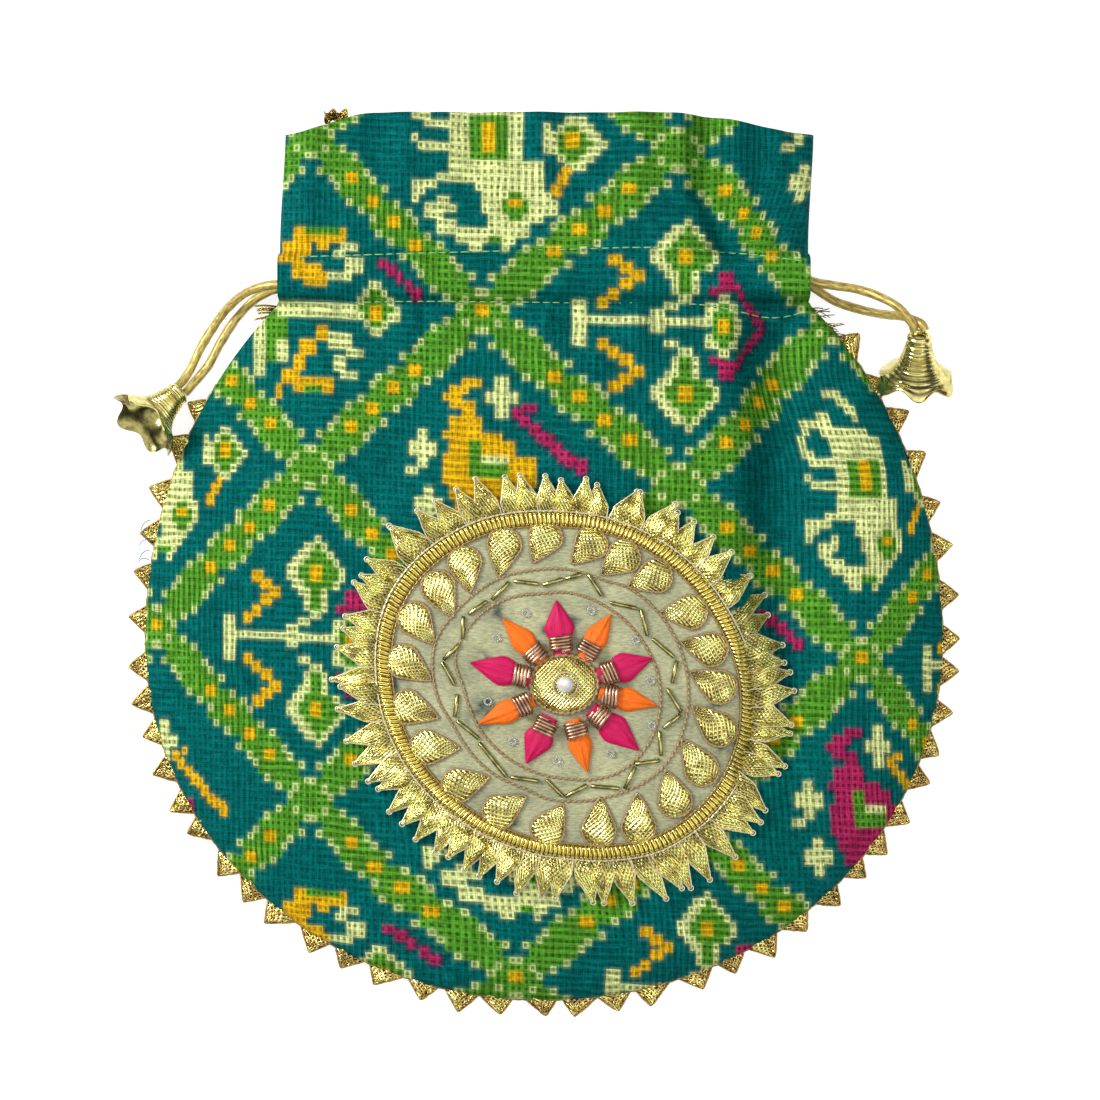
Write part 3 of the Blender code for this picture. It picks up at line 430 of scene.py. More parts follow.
def to_outline(x, y, inset=0.0):
    """Whether a place is inside the cloth's outline, and the place moved onto it if it isn't."""
    if y < NECK_ROOT:
        rho = math.hypot(x / (BODY_HALF_WIDTH - inset), (y - BODY_CENTRE_Y) / (body_reach(y) - inset))
        if rho <= 1:
            return True, x, y
        return False, x / rho, BODY_CENTRE_Y + (y - BODY_CENTRE_Y) / rho
    low, high = centre_x(y) - half_width(y) + inset, centre_x(y) + half_width(y) - inset
    inside_x = min(high, max(low, x))
    inside_y = min(mouth_line(inside_x) - inset, y)
    return inside_x == x and inside_y == y, inside_x, inside_y


# Mesh helpers


class Shape:
    """Points, faces, face materials and corner UVs of one piece."""

    def __init__(self):
        self.points, self.faces, self.slots, self.uvs = [], [], [], []

    def face(self, corners, slot=0, uv=None):
        self.faces.append(tuple(corners))
        self.slots.append(slot)
        self.uvs.extend(uv or [(0.0, 0.0)] * len(corners))

    def grid(self, rows, slot=0, closed=False, uv_scale=(1.0, 1.0), flip=False):
        """A skin over rows of points; closed joins each row's end to its start."""
        start = len(self.points)
        wide = len(rows[0])
        for row in rows:
            self.points.extend(row)
        around = wide if closed else wide - 1
        for i in range(len(rows) - 1):
            for j in range(around):
                k = (j + 1) % wide
                a, b = start + i * wide + j, start + i * wide + k
                c, d = start + (i + 1) * wide + k, start + (i + 1) * wide + j
                u0, u1 = j / around * uv_scale[0], (j + 1) / around * uv_scale[0]
                v0, v1 = i / (len(rows) - 1) * uv_scale[1], (i + 1) / (len(rows) - 1) * uv_scale[1]
                if flip:
                    self.face((a, d, c, b), slot, [(u0, v0), (u0, v1), (u1, v1), (u1, v0)])
                else:
                    self.face((a, b, c, d), slot, [(u0, v0), (u1, v0), (u1, v1), (u0, v1)])
        return start

    def cap(self, first, count, slot=0, flip=False):
        ring = list(range(first, first + count))
        self.face(ring[::-1] if flip else ring, slot)

    def tube(self, path, radius, sides=6, slot=0, loop=False, section=None, uv_scale=None):
        """A tube along points; section(turn, angle) scales its radius, loop joins its ends."""
        frames = carried_frames(path, loop)
        run = 0.0
        rows = []
        for i, (centre, side, up) in enumerate(frames):
            if i:
                run += (centre - frames[i - 1][0]).length
            ring = []
            for j in range(sides):
                angle = 2 * math.pi * j / sides
                reach = radius * (section(run, angle) if section else 1.0)
                ring.append(centre + (side * math.cos(angle) + up * math.sin(angle)) * reach)
            rows.append(ring)
        if loop:
            rows.append([p.copy() for p in rows[0]])
        scale = uv_scale or (1.0, run)
        start = self.grid(rows, slot, closed=True, uv_scale=scale)
        if not loop:
            self.cap(start, sides, slot, flip=True)
            self.cap(start + (len(rows) - 1) * sides, sides, slot)


def carried_frames(path, loop=False):
    """The points of a path, each with two directions across it that turn as little as they can."""
    count = len(path)
    result = []
    up = Vector((0, 0, 1))
    for i, p in enumerate(path):
        before = path[i - 1] if i or loop else p
        after = path[(i + 1) % count] if i < count - 1 or loop else p
        along = (after - before).normalized()
        side = up.cross(along)
        if side.length < 1e-6:
            side = Vector((1, 0, 0)).cross(along)
        side.normalize()
        up = along.cross(side).normalized()
        result.append((Vector(p), side, up))
    return result


def twisted(pitch, depth=0.35, plies=2):
    """A section for tube(): a thread of so many plies, one turn in each pitch."""
    return lambda run, angle: 1 - depth * 0.5 * (1 - math.cos(plies * angle - 2 * math.pi * run / pitch))


def even_path(points, spacing, loop=False, smooth_steps=10):
    """Evenly spaced points on a smooth curve through the given ones."""
    knots = [Vector(p) for p in points]
    if loop:
        padded = [knots[-1]] + knots + knots[:2]
    else:
        padded = [2 * knots[0] - knots[1]] + knots + [2 * knots[-1] - knots[-2]]
    fine = []
    for a, b, c, d in zip(padded, padded[1:], padded[2:], padded[3:]):
        for i in range(smooth_steps):
            t = i / smooth_steps
            fine.append(0.5 * (2 * b + (c - a) * t + (2 * a - 5 * b + 4 * c - d) * t * t
                               + (3 * b - a - 3 * c + d) * t ** 3))
    fine.append(knots[0].copy() if loop else knots[-1])
    run = [0.0]
    for a, b in zip(fine, fine[1:]):
        run.append(run[-1] + (b - a).length)
    count = max(3, round(run[-1] / spacing))
    even, at = [], 0
    for i in range(count if loop else count + 1):
        goal = run[-1] * i / count
        while at < len(run) - 2 and run[at + 1] < goal:
            at += 1
        even.append(fine[at].lerp(fine[at + 1], (goal - run[at]) / max(1e-12, run[at + 1] - run[at])))
    return even


def circle(centre, radius, count, up=0.0):
    return [centre + Vector((radius * math.cos(a), radius * math.sin(a), up))
            for a in (2 * math.pi * k / count for k in range(count))]


def level_frame(start, end):
    """The level direction from start to end, the one to its right, and the distance."""
    along = Vector((end.x - start.x, end.y - start.y, 0))
    length = along.length
    along.normalize()
    return along, Vector((along.y, -along.x, 0)), length


def piece(name, shape, materials, replaced=(), smooth_angle=50):
    """Make a visible piece from a shape, give it its materials and slot, and let it ride."""
    mesh = bpy.data.meshes.new(name)
    mesh.from_pydata([tuple(p) for p in shape.points], [], shape.faces)
    for made in materials:
        mesh.materials.append(made)
    mesh.polygons.foreach_set("material_index", shape.slots)
    layer = mesh.uv_layers.new(name="UVMap")
    layer.data.foreach_set("uv", [c for uv in shape.uvs for c in uv])
    mesh.shade_smooth()
    if smooth_angle < 180:
        mesh.set_sharp_from_angle(angle=math.radians(smooth_angle))
    item = bpy.data.objects.new(name, mesh)
    bpy.context.scene.collection.objects.link(item)
    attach(item, "root")
    if replaced:
        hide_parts(*replaced)
    return item


# Materials


def surface_material(name, colour, roughness, metallic=0.0, specular=0.5, **more):
    """A material, its tree and its shader; more sets further inputs by name, with _ for a space."""
    made = bpy.data.materials.new(name)
    made.use_nodes = True
    shader = made.node_tree.nodes["Principled BSDF"]
    values = {"Base Color": (*colour, 1), "Roughness": roughness, "Metallic": metallic,
              "Specular IOR Level": specular, **{key.replace("_", " "): more[key] for key in more}}
    for key, value in values.items():
        shader.inputs[key].default_value = value
    return made, made.node_tree, shader


def mix_colour(a, b, share):
    return tuple(mix(x, y, share) for x, y in zip(a, b))


def colour_from(tree, shader, factor, stops):
    tree.links.new(ramp_colour(tree, factor, stops), shader.inputs["Base Color"])


def bump(tree, shader, height, strength, distance):
    node = add(tree, "Bump", {"Height": height, "Strength": strength, "Distance": distance})
    tree.links.new(node.outputs["Normal"], shader.inputs["Normal"])


def math_node(tree, operation, a, b=None):
    return add(tree, "Math", {0: a} if b is None else {0: a, 1: b}, operation=operation).outputs[0]


def vector_node(tree, operation, a, b=None):
    return add(tree, "VectorMath", {0: a} if b is None else {0: a, 1: b}, operation=operation).outputs[0]


def shaded(tree, colour, level):
    return add(tree, "VectorMath", {0: colour, "Scale": level}, operation="SCALE").outputs[0]


def remap(tree, value, from_min, from_max, to_min=0.0, to_max=1.0, kind="LINEAR"):
    return add(tree, "MapRange", {"Value": value, "From Min": from_min, "From Max": from_max, "To Min": to_min,
                                  "To Max": to_max}, interpolation_type=kind).outputs[0]


def uv_map(tree):
    return add(tree, "UVMap", uv_map="UVMap").outputs["UV"]


def stretched(tree, vector, scale):
    return add(tree, "Mapping", {"Vector": vector, "Scale": scale}).outputs["Vector"]


def object_coords(tree, x, y=None, z=None):
    """The object's own coordinates, at one scale or at three."""
    return stretched(tree, add(tree, "TexCoord").outputs["Object"], (x, y or x, z or x))


def grain_of(tree, vector, detail=2.0, size=1.0):
    return add(tree, "TexNoise", {"Vector": vector, "Scale": size, "Detail": detail}).outputs["Fac"]


def ikat_material():
    """Woven check: the colour comes from the print attribute, the checks and ribs from the cell UVs."""
    made, tree, shader = surface_material("ikat_cloth", (0, 0.13, 0.15), 0.72, specular=0.03)
    dye = add(tree, "Attribute", attribute_name="print")
    cells = uv_map(tree)
    # threads wander a little, so the checks aren't ruled
    wander = add(tree, "TexNoise", {"Vector": cells, "Scale": 0.35, "Detail": 3.0}).outputs["Color"]
    wander = vector_node(tree, "SUBTRACT", wander, (0.5, 0.5, 0.5))
    cell = vector_node(tree, "ADD", cells, vector_node(tree, "MULTIPLY", wander, (0.26, 0.26, 0.0)))
    inner = vector_node(tree, "SUBTRACT", vector_node(tree, "FRACTION", cell), (0.5, 0.5, 0.0))
    parts = add(tree, "SeparateXYZ", {"Vector": inner})
    across = math_node(tree, "ABSOLUTE", parts.outputs["X"])
    down = math_node(tree, "ABSOLUTE", parts.outputs["Y"])
    # the dark holes of the weave join into lines, upright in some places and level in others
    drift = grain_of(tree, cells, 2.0, 0.06)
    upright, level = remap(tree, drift, 0.48, 0.60, 0.0, 0.75), remap(tree, drift, 0.50, 0.40, 0.0, 0.65)
    wide = remap(tree, across, 0.33, 0.13, kind="SMOOTHSTEP")
    tall = remap(tree, down, 0.34, 0.14, kind="SMOOTHSTEP")
    hole = math_node(tree, "MULTIPLY", math_node(tree, "MAXIMUM", wide, level),
                     math_node(tree, "MAXIMUM", tall, upright))
    hole = math_node(tree, "MULTIPLY", hole, math_node(tree, "MAXIMUM", wide, tall))
    # each check has its own shade
    whole = vector_node(tree, "FLOOR", cell)
    shade = add(tree, "TexWhiteNoise", {"Vector": whole}, noise_dimensions="2D").outputs["Value"]
    strength = math_node(tree, "MULTIPLY", math_node(tree, "MULTIPLY", hole, dye.outputs["Alpha"]),
                         remap(tree, shade, 0.0, 1.0, 0.72, 1.0))
    dark = add(tree, "Mix", {"Factor": 1.0, 6: dye.outputs["Color"], 7: (0.13, 0.16, 0.09, 1)},
               data_type="RGBA", blend_type="MULTIPLY").outputs[2]
    dotted = add(tree, "Mix", {"Factor": strength, 6: dye.outputs["Color"], 7: dark}, data_type="RGBA").outputs[2]
    # ribs of the weave, across and up, with slubs
    weft, warp = [grain_of(tree, stretched(tree, cells, scale), 4.0) for scale in ((0.4, 6.0, 1), (6.0, 0.4, 1))]
    threads = math_node(tree, "ADD", weft, warp)
    tone = math_node(tree, "MULTIPLY", remap(tree, threads, 0.72, 1.28, 0.42, 1.40),
                     remap(tree, shade, 0.0, 1.0, 0.80, 1.10))
    border = remap(tree, math_node(tree, "MAXIMUM", across, down), 0.40, 0.5, 1.0, 1.10)
    tree.links.new(shaded(tree, shaded(tree, dotted, tone), border), shader.inputs["Base Color"])
    bump(tree, shader, math_node(tree, "SUBTRACT", threads, math_node(tree, "MULTIPLY", hole, 0.5)), 0.7, 0.00035)
    return made


def ribbon_material(name, bright, dark, roughness, ribs, rib_angle, crinkle, grain, painted_shade_bias=0.0, root=0.0):
    """Metallic ribbon: a fine weave from the UVs, crinkled like foil, dark in the weave's gaps, with painted shade in
    the crinkles' hollows and at its root.
    """
    made, tree, shader = surface_material(name, bright, roughness, metallic=1.0)
    uv = uv_map(tree)
    turned = add(tree, "Mapping", {"Vector": uv, "Rotation": (0, 0, rib_angle)}).outputs[0]
    wave = {"Vector": turned, "Scale": ribs, "Distortion": 0.5}
    rib = add(tree, "TexWave", {**wave, "Detail": 1.0}).outputs["Fac"]
    cross = add(tree, "TexWave", wave, bands_direction="Y").outputs["Fac"]
    weave = math_node(tree, "MAXIMUM", rib, math_node(tree, "MULTIPLY", cross, 0.6))
    crumple = grain_of(tree, object_coords(tree, grain), 3.0)
    # the ramp is dark in the weave's gaps and paints shade into the crinkles' hollows; the bias shifts how much of the
    # ribbon takes the dark end
    weave_and_crinkle_shade = ramp_colour(tree, math_node(tree, "ADD", math_node(tree, "MULTIPLY", crumple, 0.5), weave),
                       [(0.22 + painted_shade_bias, dark), (0.50 + painted_shade_bias, mix_colour(dark, bright, 0.75)),
                        (0.80 + painted_shade_bias, bright)])
    # painted shade: the colour is darker towards the ribbon's root, by the root share
    along = add(tree, "SeparateXYZ", {"Vector": uv}).outputs["Y"]
    clear = remap(tree, along, 0.10, 0.50, 1 - root, 1.0, "SMOOTHSTEP")
    # broad patches of painted highlight and painted shade over the foil
    painted_light_patch = remap(tree, grain_of(tree, object_coords(tree, 210)), 0.40, 0.58, 0.62, 1.30)
    lit = shaded(tree, weave_and_crinkle_shade, math_node(tree, "MULTIPLY", clear, painted_light_patch))
    tree.links.new(lit, shader.inputs["Base Color"])
    height = math_node(tree, "ADD", weave, math_node(tree, "MULTIPLY", crumple, crinkle * 8))
    bump(tree, shader, height, 0.9, 0.00028)
    return made


def braid_material():
    """The braid's crosswise ribs, one for each whole number of the UV's length, with painted shade in the grooves
    between them.
    """
    made, tree, shader = surface_material("gold_braid", (0.92, 0.72, 0.15), 0.24, metallic=0.95)
    along = add(tree, "SeparateXYZ", {"Vector": uv_map(tree)}).outputs["Y"]
    wander = grain_of(tree, object_coords(tree, 700))
    turn = math_node(tree, "ADD", along, math_node(tree, "MULTIPLY", wander, 0.4))
    level = remap(tree, math_node(tree, "COSINE", math_node(tree, "MULTIPLY", turn, 2 * math.pi)), 1.0, -1.0)
    # painted shade in the grooves between the ribs, lightest on their crests
    colour_from(tree, shader, level, [(0.05, (0.11, 0.07, 0.006)), (0.24, (0.85, 0.64, 0.11)),
                                      (0.44, (1.0, 0.88, 0.31))])
    bump(tree, shader, level, 0.5, 0.0003)
    return made


def thread_material(name, light, dark, pitch, roughness=0.5, metallic=0.3):
    """Fine fibres running along a thread or cord, whose UV runs along it in metres."""
    made, tree, shader = surface_material(name, light, roughness, metallic, Sheen_Weight=0.2, Sheen_Roughness=0.4,
                                          Sheen_Tint=(*light, 1))
    fibre = grain_of(tree, stretched(tree, uv_map(tree), (14, 1 / pitch, 1)), 4.0)
    colour_from(tree, shader, fibre, [(0.32, dark), (0.55, mix_colour(dark, light, 0.7)), (0.75, light)])
    bump(tree, shader, fibre, 0.5, 0.0001)
    return made


def worn_metal(name, bright, dark, roughness):
    made, tree, shader = surface_material(name, bright, roughness, metallic=1.0)
    cloud = grain_of(tree, object_coords(tree, 500), 3.0)
    colour_from(tree, shader, cloud, [(0.3, dark), (0.6, bright)])
    rough = remap(tree, cloud, 0.0, 1.0, roughness * 1.5, roughness * 0.6)
    tree.links.new(rough, shader.inputs["Roughness"])
    bump(tree, shader, cloud, 0.25, 0.00008)
    return made


def velvet_material():
    made, tree, shader = surface_material("ground_velvet", (0.38, 0.38, 0.22), 0.8, specular=0.15, Sheen_Weight=0.12,
                                          Sheen_Roughness=0.4, Sheen_Tint=(0.8, 0.85, 0.65, 1))
    nap = grain_of(tree, object_coords(tree, 700, 2600, 800), 5.0)
    cloud = grain_of(tree, object_coords(tree, 90), 3.0)
    worn = ramp_colour(tree, cloud, [(0.30, (0.30, 0.31, 0.19)), (0.65, (0.46, 0.46, 0.27))])
    stain = add(tree, "Attribute", attribute_name="stain").outputs["Fac"]
    stained = add(tree, "Mix", {"Factor": stain, 6: worn, 7: (0.035, 0.06, 0.055, 1)}, data_type="RGBA").outputs[2]
    tree.links.new(shaded(tree, stained, remap(tree, nap, 0.3, 0.7, 0.68, 1.22)), shader.inputs["Base Color"])
    bump(tree, shader, nap, 0.5, 0.0002)
    return made


def silk_material(name, light, dark):
    made, tree, shader = surface_material(name, light, 0.50, specular=0.25)
    grain = grain_of(tree, stretched(tree, uv_map(tree), (46, 5, 1)), 3.0)
    colour_from(tree, shader, grain, [(0.30, dark), (0.6, light)])
    bump(tree, shader, grain, 0.4, 0.0002)
    return made


def pearl_material():
    made, tree, shader = surface_material("pearl", (0.78, 0.76, 0.72), 0.22, specular=0.6, Coat_Weight=0.6,
                                          Coat_Roughness=0.08)
    cloud = grain_of(tree, object_coords(tree, 400))
    colour_from(tree, shader, cloud, [(0.35, (0.62, 0.57, 0.55)), (0.65, (0.86, 0.85, 0.82))])
    return made


def clear_material():
    made, tree, shader = surface_material("clear_sequin", (0.85, 0.86, 0.80), 0.12, specular=0.7,
                                          Transmission_Weight=0.75, IOR=1.45)
    bump(tree, shader, grain_of(tree, object_coords(tree, 1500)), 0.2, 0.0001)
    return made


IKAT = ikat_material()
LINING_CLOTH = thread_material("lining_satin", (0.02, 0.24, 0.25), (0.0, 0.11, 0.12), 0.002, 0.42, 0.0)
# the edge ribbon has more painted shade in its hollows than the others, and the edge and fringe ribbons have painted
# shade at their roots
EDGE_RIBBON = ribbon_material("edge_ribbon", (1.0, 0.74, 0.24), (0.06, 0.03, 0.008), 0.22, 2.4, 0.9, 0.60, 380,
                              painted_shade_bias=0.14, root=0.25)
FRINGE_RIBBON = ribbon_material("fringe_ribbon", (1.0, 0.88, 0.29), (0.16, 0.10, 0.01), 0.20, 3.0, 0.6, 0.30, 340,
                                painted_shade_bias=-0.04, root=0.55)
PETAL_RIBBON = ribbon_material("petal_ribbon", (1.0, 0.87, 0.29), (0.22, 0.14, 0.01), 0.20, 3.2, 0.78, 0.30, 330)
WIRE = thread_material("pale_wire", (0.95, 0.90, 0.68), (0.45, 0.36, 0.16), 0.0006, 0.35, 0.6)
DARK_WIRE = thread_material("dark_wire", (0.62, 0.42, 0.12), (0.10, 0.05, 0.02), 0.0006, 0.4, 0.6)
BRAID = braid_material()
TWIST = thread_material("twisted_thread", (0.52, 0.38, 0.20), (0.18, 0.11, 0.05), 0.0005, 0.5, 0.35)
VELVET = velvet_material()
BUGLE = worn_metal("bugle_gold", (0.50, 0.46, 0.18), (0.16, 0.14, 0.04), 0.20)
PINK = silk_material("pink_silk", (0.66, 0.006, 0.11), (0.38, 0.002, 0.05))
ORANGE = silk_material("orange_silk", (1.0, 0.205, 0.008), (0.72, 0.09, 0.004))
COPPER = worn_metal("copper_wire", (0.62, 0.40, 0.26), (0.26, 0.13, 0.08), 0.30)
PEARL = pearl_material()
CLEAR = clear_material()
CORD = thread_material("satin_cord", (0.72, 0.56, 0.16), (0.22, 0.15, 0.02), 0.0022, 0.40, 0.35)
BELL = worn_metal("bell_metal", (0.80, 0.72, 0.30), (0.50, 0.43, 0.12), 0.19)
# a darker copy of the bell's metal for its inside: painted shade
BELL_SHADED_INSIDE = worn_metal("bell_inside_painted_shade", (0.46, 0.41, 0.15), (0.12, 0.10, 0.03), 0.20)
STITCH = thread_material("stitch_thread", (0.34, 0.62, 0.24), (0.14, 0.34, 0.12), 0.0008, 0.6, 0.0)
DARK_THREAD = thread_material("dark_thread", (0.16, 0.09, 0.05), (0.05, 0.03, 0.02), 0.001, 0.6, 0.0)
LOOSE = thread_material("loose_thread", (0.10, 0.25, 0.34), (0.05, 0.12, 0.2), 0.001, 0.6, 0.0)


# Cords and bells


def braided(run, angle):
    """A tubular braid's relief: fine strands cross over each other both ways round."""
    turn = 2 * math.pi * run / 0.0042
    over = math.cos(5 * angle + turn)
    under = math.cos(5 * angle - turn)
    return 1.0 + 0.035 * max(over, under) + 0.03 * math.sin(2 * angle + turn / 3)


BELL_REST, BELL_BEND = 0.0002, 0.0010
BELL_RINGS, BELL_RIBS = 13, 42
BELL_RELIEF = 0.0005
BELL_LOBE = 0.0006
BELL_PROFILE = [(0.0, 1.0), (0.05, 1.14), (0.12, 1.02), (0.3, 1.15), (0.5, 1.42), (0.68, 1.84), (0.82, 2.42),
                (0.93, 3.10), (1.0, 3.45)]


def bell_profile(along):
    """Radius of the bell's outside at a share of its length."""
    return along_knots(BELL_PROFILE, along) * BELL_THROAT


def make_bell(name, node, place, aim, roll):
    shape = Shape()
    sides, steps = 96, 76
    outer_rows, inner_rows = [], []
    for i in range(steps + 1):
        t = i / steps
        outer, inner = [], []
        lobed = smooth(t, 0.84, 1.0)
        rings = 0.5 - 0.5 * math.cos(2 * math.pi * t * BELL_RINGS)
        for k in range(sides):
            angle = 2 * math.pi * k / sides
            lobe = math.cos(BELL_PETALS * angle)
            ribs = 0.5 + 0.5 * math.cos(BELL_RIBS * angle)
            relief = BELL_RELIEF * (0.7 * rings + 0.3 * ribs * rings) * smooth(t, 0.10, 0.16) * (1 - 0.35 * lobed)
            reach = bell_profile(t) + BELL_LOBE * lobed * lobe
            z = t * (BELL_LENGTH - 0.0012) + 0.0009 * lobed * lobe
            curl = BELL_LOBE * smooth(t, 0.93, 1.0) * (0.5 + 0.5 * lobe)
            dent = noise.noise(Vector((2.2 * math.cos(angle), 2.2 * math.sin(angle), 4 * t + roll)))
            reach += BELL_LOBE * lobed * dent
            z += BELL_LOBE * lobed * math.sin(3 * angle + 1.0)
            outer.append(Vector(((reach + relief) * math.cos(angle), (reach + relief) * math.sin(angle), z + curl)))
            thin = reach - BELL_WALL * 0.7
            inner.append(Vector((thin * math.cos(angle), thin * math.sin(angle), z + curl + 0.0001 * (1 - t))))
        outer_rows.append(outer)
        inner_rows.append(inner)
    rim = [(a + b) / 2 + (a - b).normalized() * 0.0001 + Vector((0, 0, 0.00035))
           for a, b in zip(outer_rows[-1], inner_rows[-1])]
    rows = outer_rows + [rim] + inner_rows[:3:-1]
    shape.grid(rows, closed=True, uv_scale=(6, 6))
    # the inside's faces take the darker copy of the metal, as painted shade
    shape.slots = [1 if k > (steps + 1) * sides else 0 for k in range(len(shape.faces))]
    shape.cap(len(rows) * sides - sides, sides, 1)
    # the throat's rolled ring, and the dark hole that the cord ends go into
    around = 28
    shape.tube(circle(Vector(), BELL_THROAT * 0.86, around, 0.0002), 0.00045, 8, loop=True)
    funnel = [circle(Vector(), BELL_THROAT * share, around, z) for share, z in ((1.0, 0.0), (0.72, 0.0004),
                                                                                 (0.60, 0.0015))]
    start = shape.grid(funnel, closed=True, flip=True)
    shape.cap(start + 2 * around, around, flip=True)
    turn = Vector(aim).to_track_quat("Z", "Y").to_matrix().to_4x4()
    matrix = Matrix.Translation(place) @ turn @ Matrix.Rotation(roll, 4, "Z")
    shape.points = [matrix @ p for p in shape.points]
    # the lip lies on the floor: what would go through it is bent up
    for p in shape.points:
        if p.z < BELL_REST + BELL_BEND:
            p.z = BELL_REST + BELL_BEND * math.exp((p.z - BELL_REST - BELL_BEND) / BELL_BEND)
    return piece(name, shape, [BELL, BELL_SHADED_INSIDE], [node], smooth_angle=40)


def make_cord(name, node, route):
    shape = Shape()
    path = even_path(route, 0.0004)
    shape.tube(path, CORD_DIAMETER / 2, 18, section=braided)
    item = piece(name, shape, [CORD], [node], smooth_angle=80)


left_bell = make_bell("stamped_bell_left", "bell_left", LEFT_BELL_AT, LEFT_BELL_AIM, 0.0)
right_bell = make_bell("stamped_bell_right", "bell_right", RIGHT_BELL_AT, RIGHT_BELL_AIM, math.pi / BELL_PETALS)
make_cord("braided_cord_left", "drawcord_left", LEFT_CORD)
make_cord("braided_cord_right", "drawcord_right", RIGHT_CORD)


# The print: u and v count the cloth's checks from the crossing under the casing's middle

HALF_U = 28
HALF_V = 22
STEPS = 16
BEAD_AT = 3.8
CHECK_X = [(-77, 62), (-56, 155), (-28, 311), (0, 482), (28, 678), (56, 861), (77, 960)]
CHECK_TILT = [(-77, -16), (-56, -14), (-28, -10), (0, 0), (28, 6), (56, 9), (77, 10)]
CHECK_ZERO_Y = 312
CHECK_PITCH_Y = 7.58
TEAL, GREEN, CREAM, YELLOW, MAGENTA, NAVY, BEAD = range(7)
# The dyes, and how dark the weave's holes show in each
PRINT_COLOURS = {TEAL: (0.0, 0.128, 0.122, 0.55), GREEN: (0.088, 0.312, 0.024, 0.86), CREAM: (0.74, 0.82, 0.33, 0.92),
                 YELLOW: (0.78, 0.45, 0.008, 0.66), MAGENTA: (0.44, 0.022, 0.11, 0.78), NAVY: (0.0, 0.045, 0.075, 0.3),
                 BEAD: (0.56, 0.68, 0.25, 0.88)}


def check_place(u, v):
    """The place in metres of a point of the check grid, with the cloth's own drift."""
    px = along_knots(CHECK_X, u) - 26 * smooth(u, 33, 46) * smooth(v, -22, -4) * (1 - 0.8 * smooth(v, 8, 20))
    px += 34 * smooth(-v, 50, 84) * smooth(u, -21, 0) * (1 - 0.6 * smooth(u, 14, 43))
    py = CHECK_ZERO_Y + along_knots(CHECK_TILT, u) - v * (CHECK_PITCH_Y + 0.002 * u)
    return (px - PIXEL_X) * PIXEL, (PIXEL_Y - py) * PIXEL


DYE_BLEED = 0.38


class Print:
    """The cloth's pattern in half checks; later marks lie over earlier ones.

    Shapes keep to whole checks, or to half ones where parts is 2.
    """

    def __init__(self):
        self.marks = {}

    def box(self, colour, u0, v0, u1, v1, parts=1):
        low_u, high_u = sorted((u0, u1))
        low_v, high_v = sorted((v0, v1))
        step = 2 // parts
        first_i, first_j = math.floor(low_u * parts + 0.5), math.floor(low_v * parts + 0.5)
        last_i = max(first_i + 1, math.floor(high_u * parts + 0.5))
        last_j = max(first_j + 1, math.floor(high_v * parts + 0.5))
        for i in range(first_i * step, last_i * step):
            for j in range(first_j * step, last_j * step):
                self.marks[i, j] = colour

    def at(self, i, j):
        return self.marks.get((i, j), TEAL)


def yellow_step(k, n, way):
    """Every second step has a yellow check, apart from those nearest to the odd crossings."""
    if k % 2:
        return False
    column = 2 * n + way * k / STEPS
    from_even = abs(column - 2 * round(column / 2)) * STEPS / 2
    return from_even < 0.5 or 2.5 < from_even < 6.5


def draw_lattice(cloth, u_low, u_high, v_low, v_high):
    """Stepped green bands both ways, edged with cream checks and with yellow ones down the middle."""
    step_u, step_v = HALF_U / STEPS, HALF_V / STEPS
    for layer in ("band", "edge", "middle"):
        for way in (1, -1):
            for k in range(math.floor(v_low / step_v), math.ceil(v_high / step_v)):
                for n in range(math.floor(u_low / (2 * HALF_U)) - 2, math.ceil(u_high / (2 * HALF_U)) + 2):
                    u, v = way * k * step_u + n * 2 * HALF_U, k * step_v
                    if not u_low - 6 < u < u_high + 6:
                        continue
                    low, high = v - step_v / 2, v + step_v / 2
                    if layer == "band":
                        cloth.box(GREEN, u - 3.6, low, u + 3.6, high)
                    elif layer == "edge":
                        for side in (-BEAD_AT, BEAD_AT):
                            at_u, at_v = math.floor(u + side), math.floor(v)
                            cloth.box(BEAD, at_u, at_v, at_u + 1, at_v + 1)
                    elif layer == "middle" and yellow_step(k, n, way):
                        cloth.box(YELLOW, u - 0.9, v - 0.75, u + 0.9, v + 0.75, 2)


def draw_boxes(cloth, colour, u, v, boxes, mirror=None):
    """Boxes placed about (u, v); mirror repeats them across a level line at that height."""
    for u0, v0, u1, v1 in boxes:
        cloth.box(colour, u + u0, v + v0, u + u1, v + v1)
        if mirror is not None:
            cloth.box(colour, u + u0, v + 2 * mirror - v0, u + u1, v + 2 * mirror - v1)


def draw_flower(cloth, u, v, wide=4.5, tall=4.5):
    """A stepped lozenge: cream edge, green inside and a yellow middle."""
    for colour, less in ((CREAM, 0.0), (GREEN, 1.0)):
        row = -math.floor(tall)
        while row <= tall:
            reach = math.floor(wide * (1 - abs(row) / (tall + 1)) + 0.8) - less + 0.2 * (less == 0)
            if reach > 0 and abs(row) <= tall - less:
                cloth.box(colour, u - reach, v + row - 0.5, u + reach, v + row + 0.5)
            row += 1
    cloth.box(YELLOW, u - 1.0, v - 1.0, u + 1.0, v + 1.0)


def draw_zigzag(cloth, colour, points, size=1.4, step=1.1):
    """A stepped line of small squares from point to point."""
    for (u0, v0), (u1, v1) in zip(points, points[1:]):
        count = max(1, round(max(abs(u1 - u0), abs(v1 - v0)) / step))
        for i in range(count + 1):
            u, v = mix(u0, u1, i / count), mix(v0, v1, i / count)
            cloth.box(colour, u - size / 2, v - size / 2, u + size / 2, v + size / 2, 2)


def draw_cross(cloth, u, v):
    cloth.box(CREAM, u - 0.9, v - 2.6, u + 0.9, v + 2.6, 2)
    cloth.box(CREAM, u - 2.4, v - 0.9, u + 2.4, v + 0.9, 2)


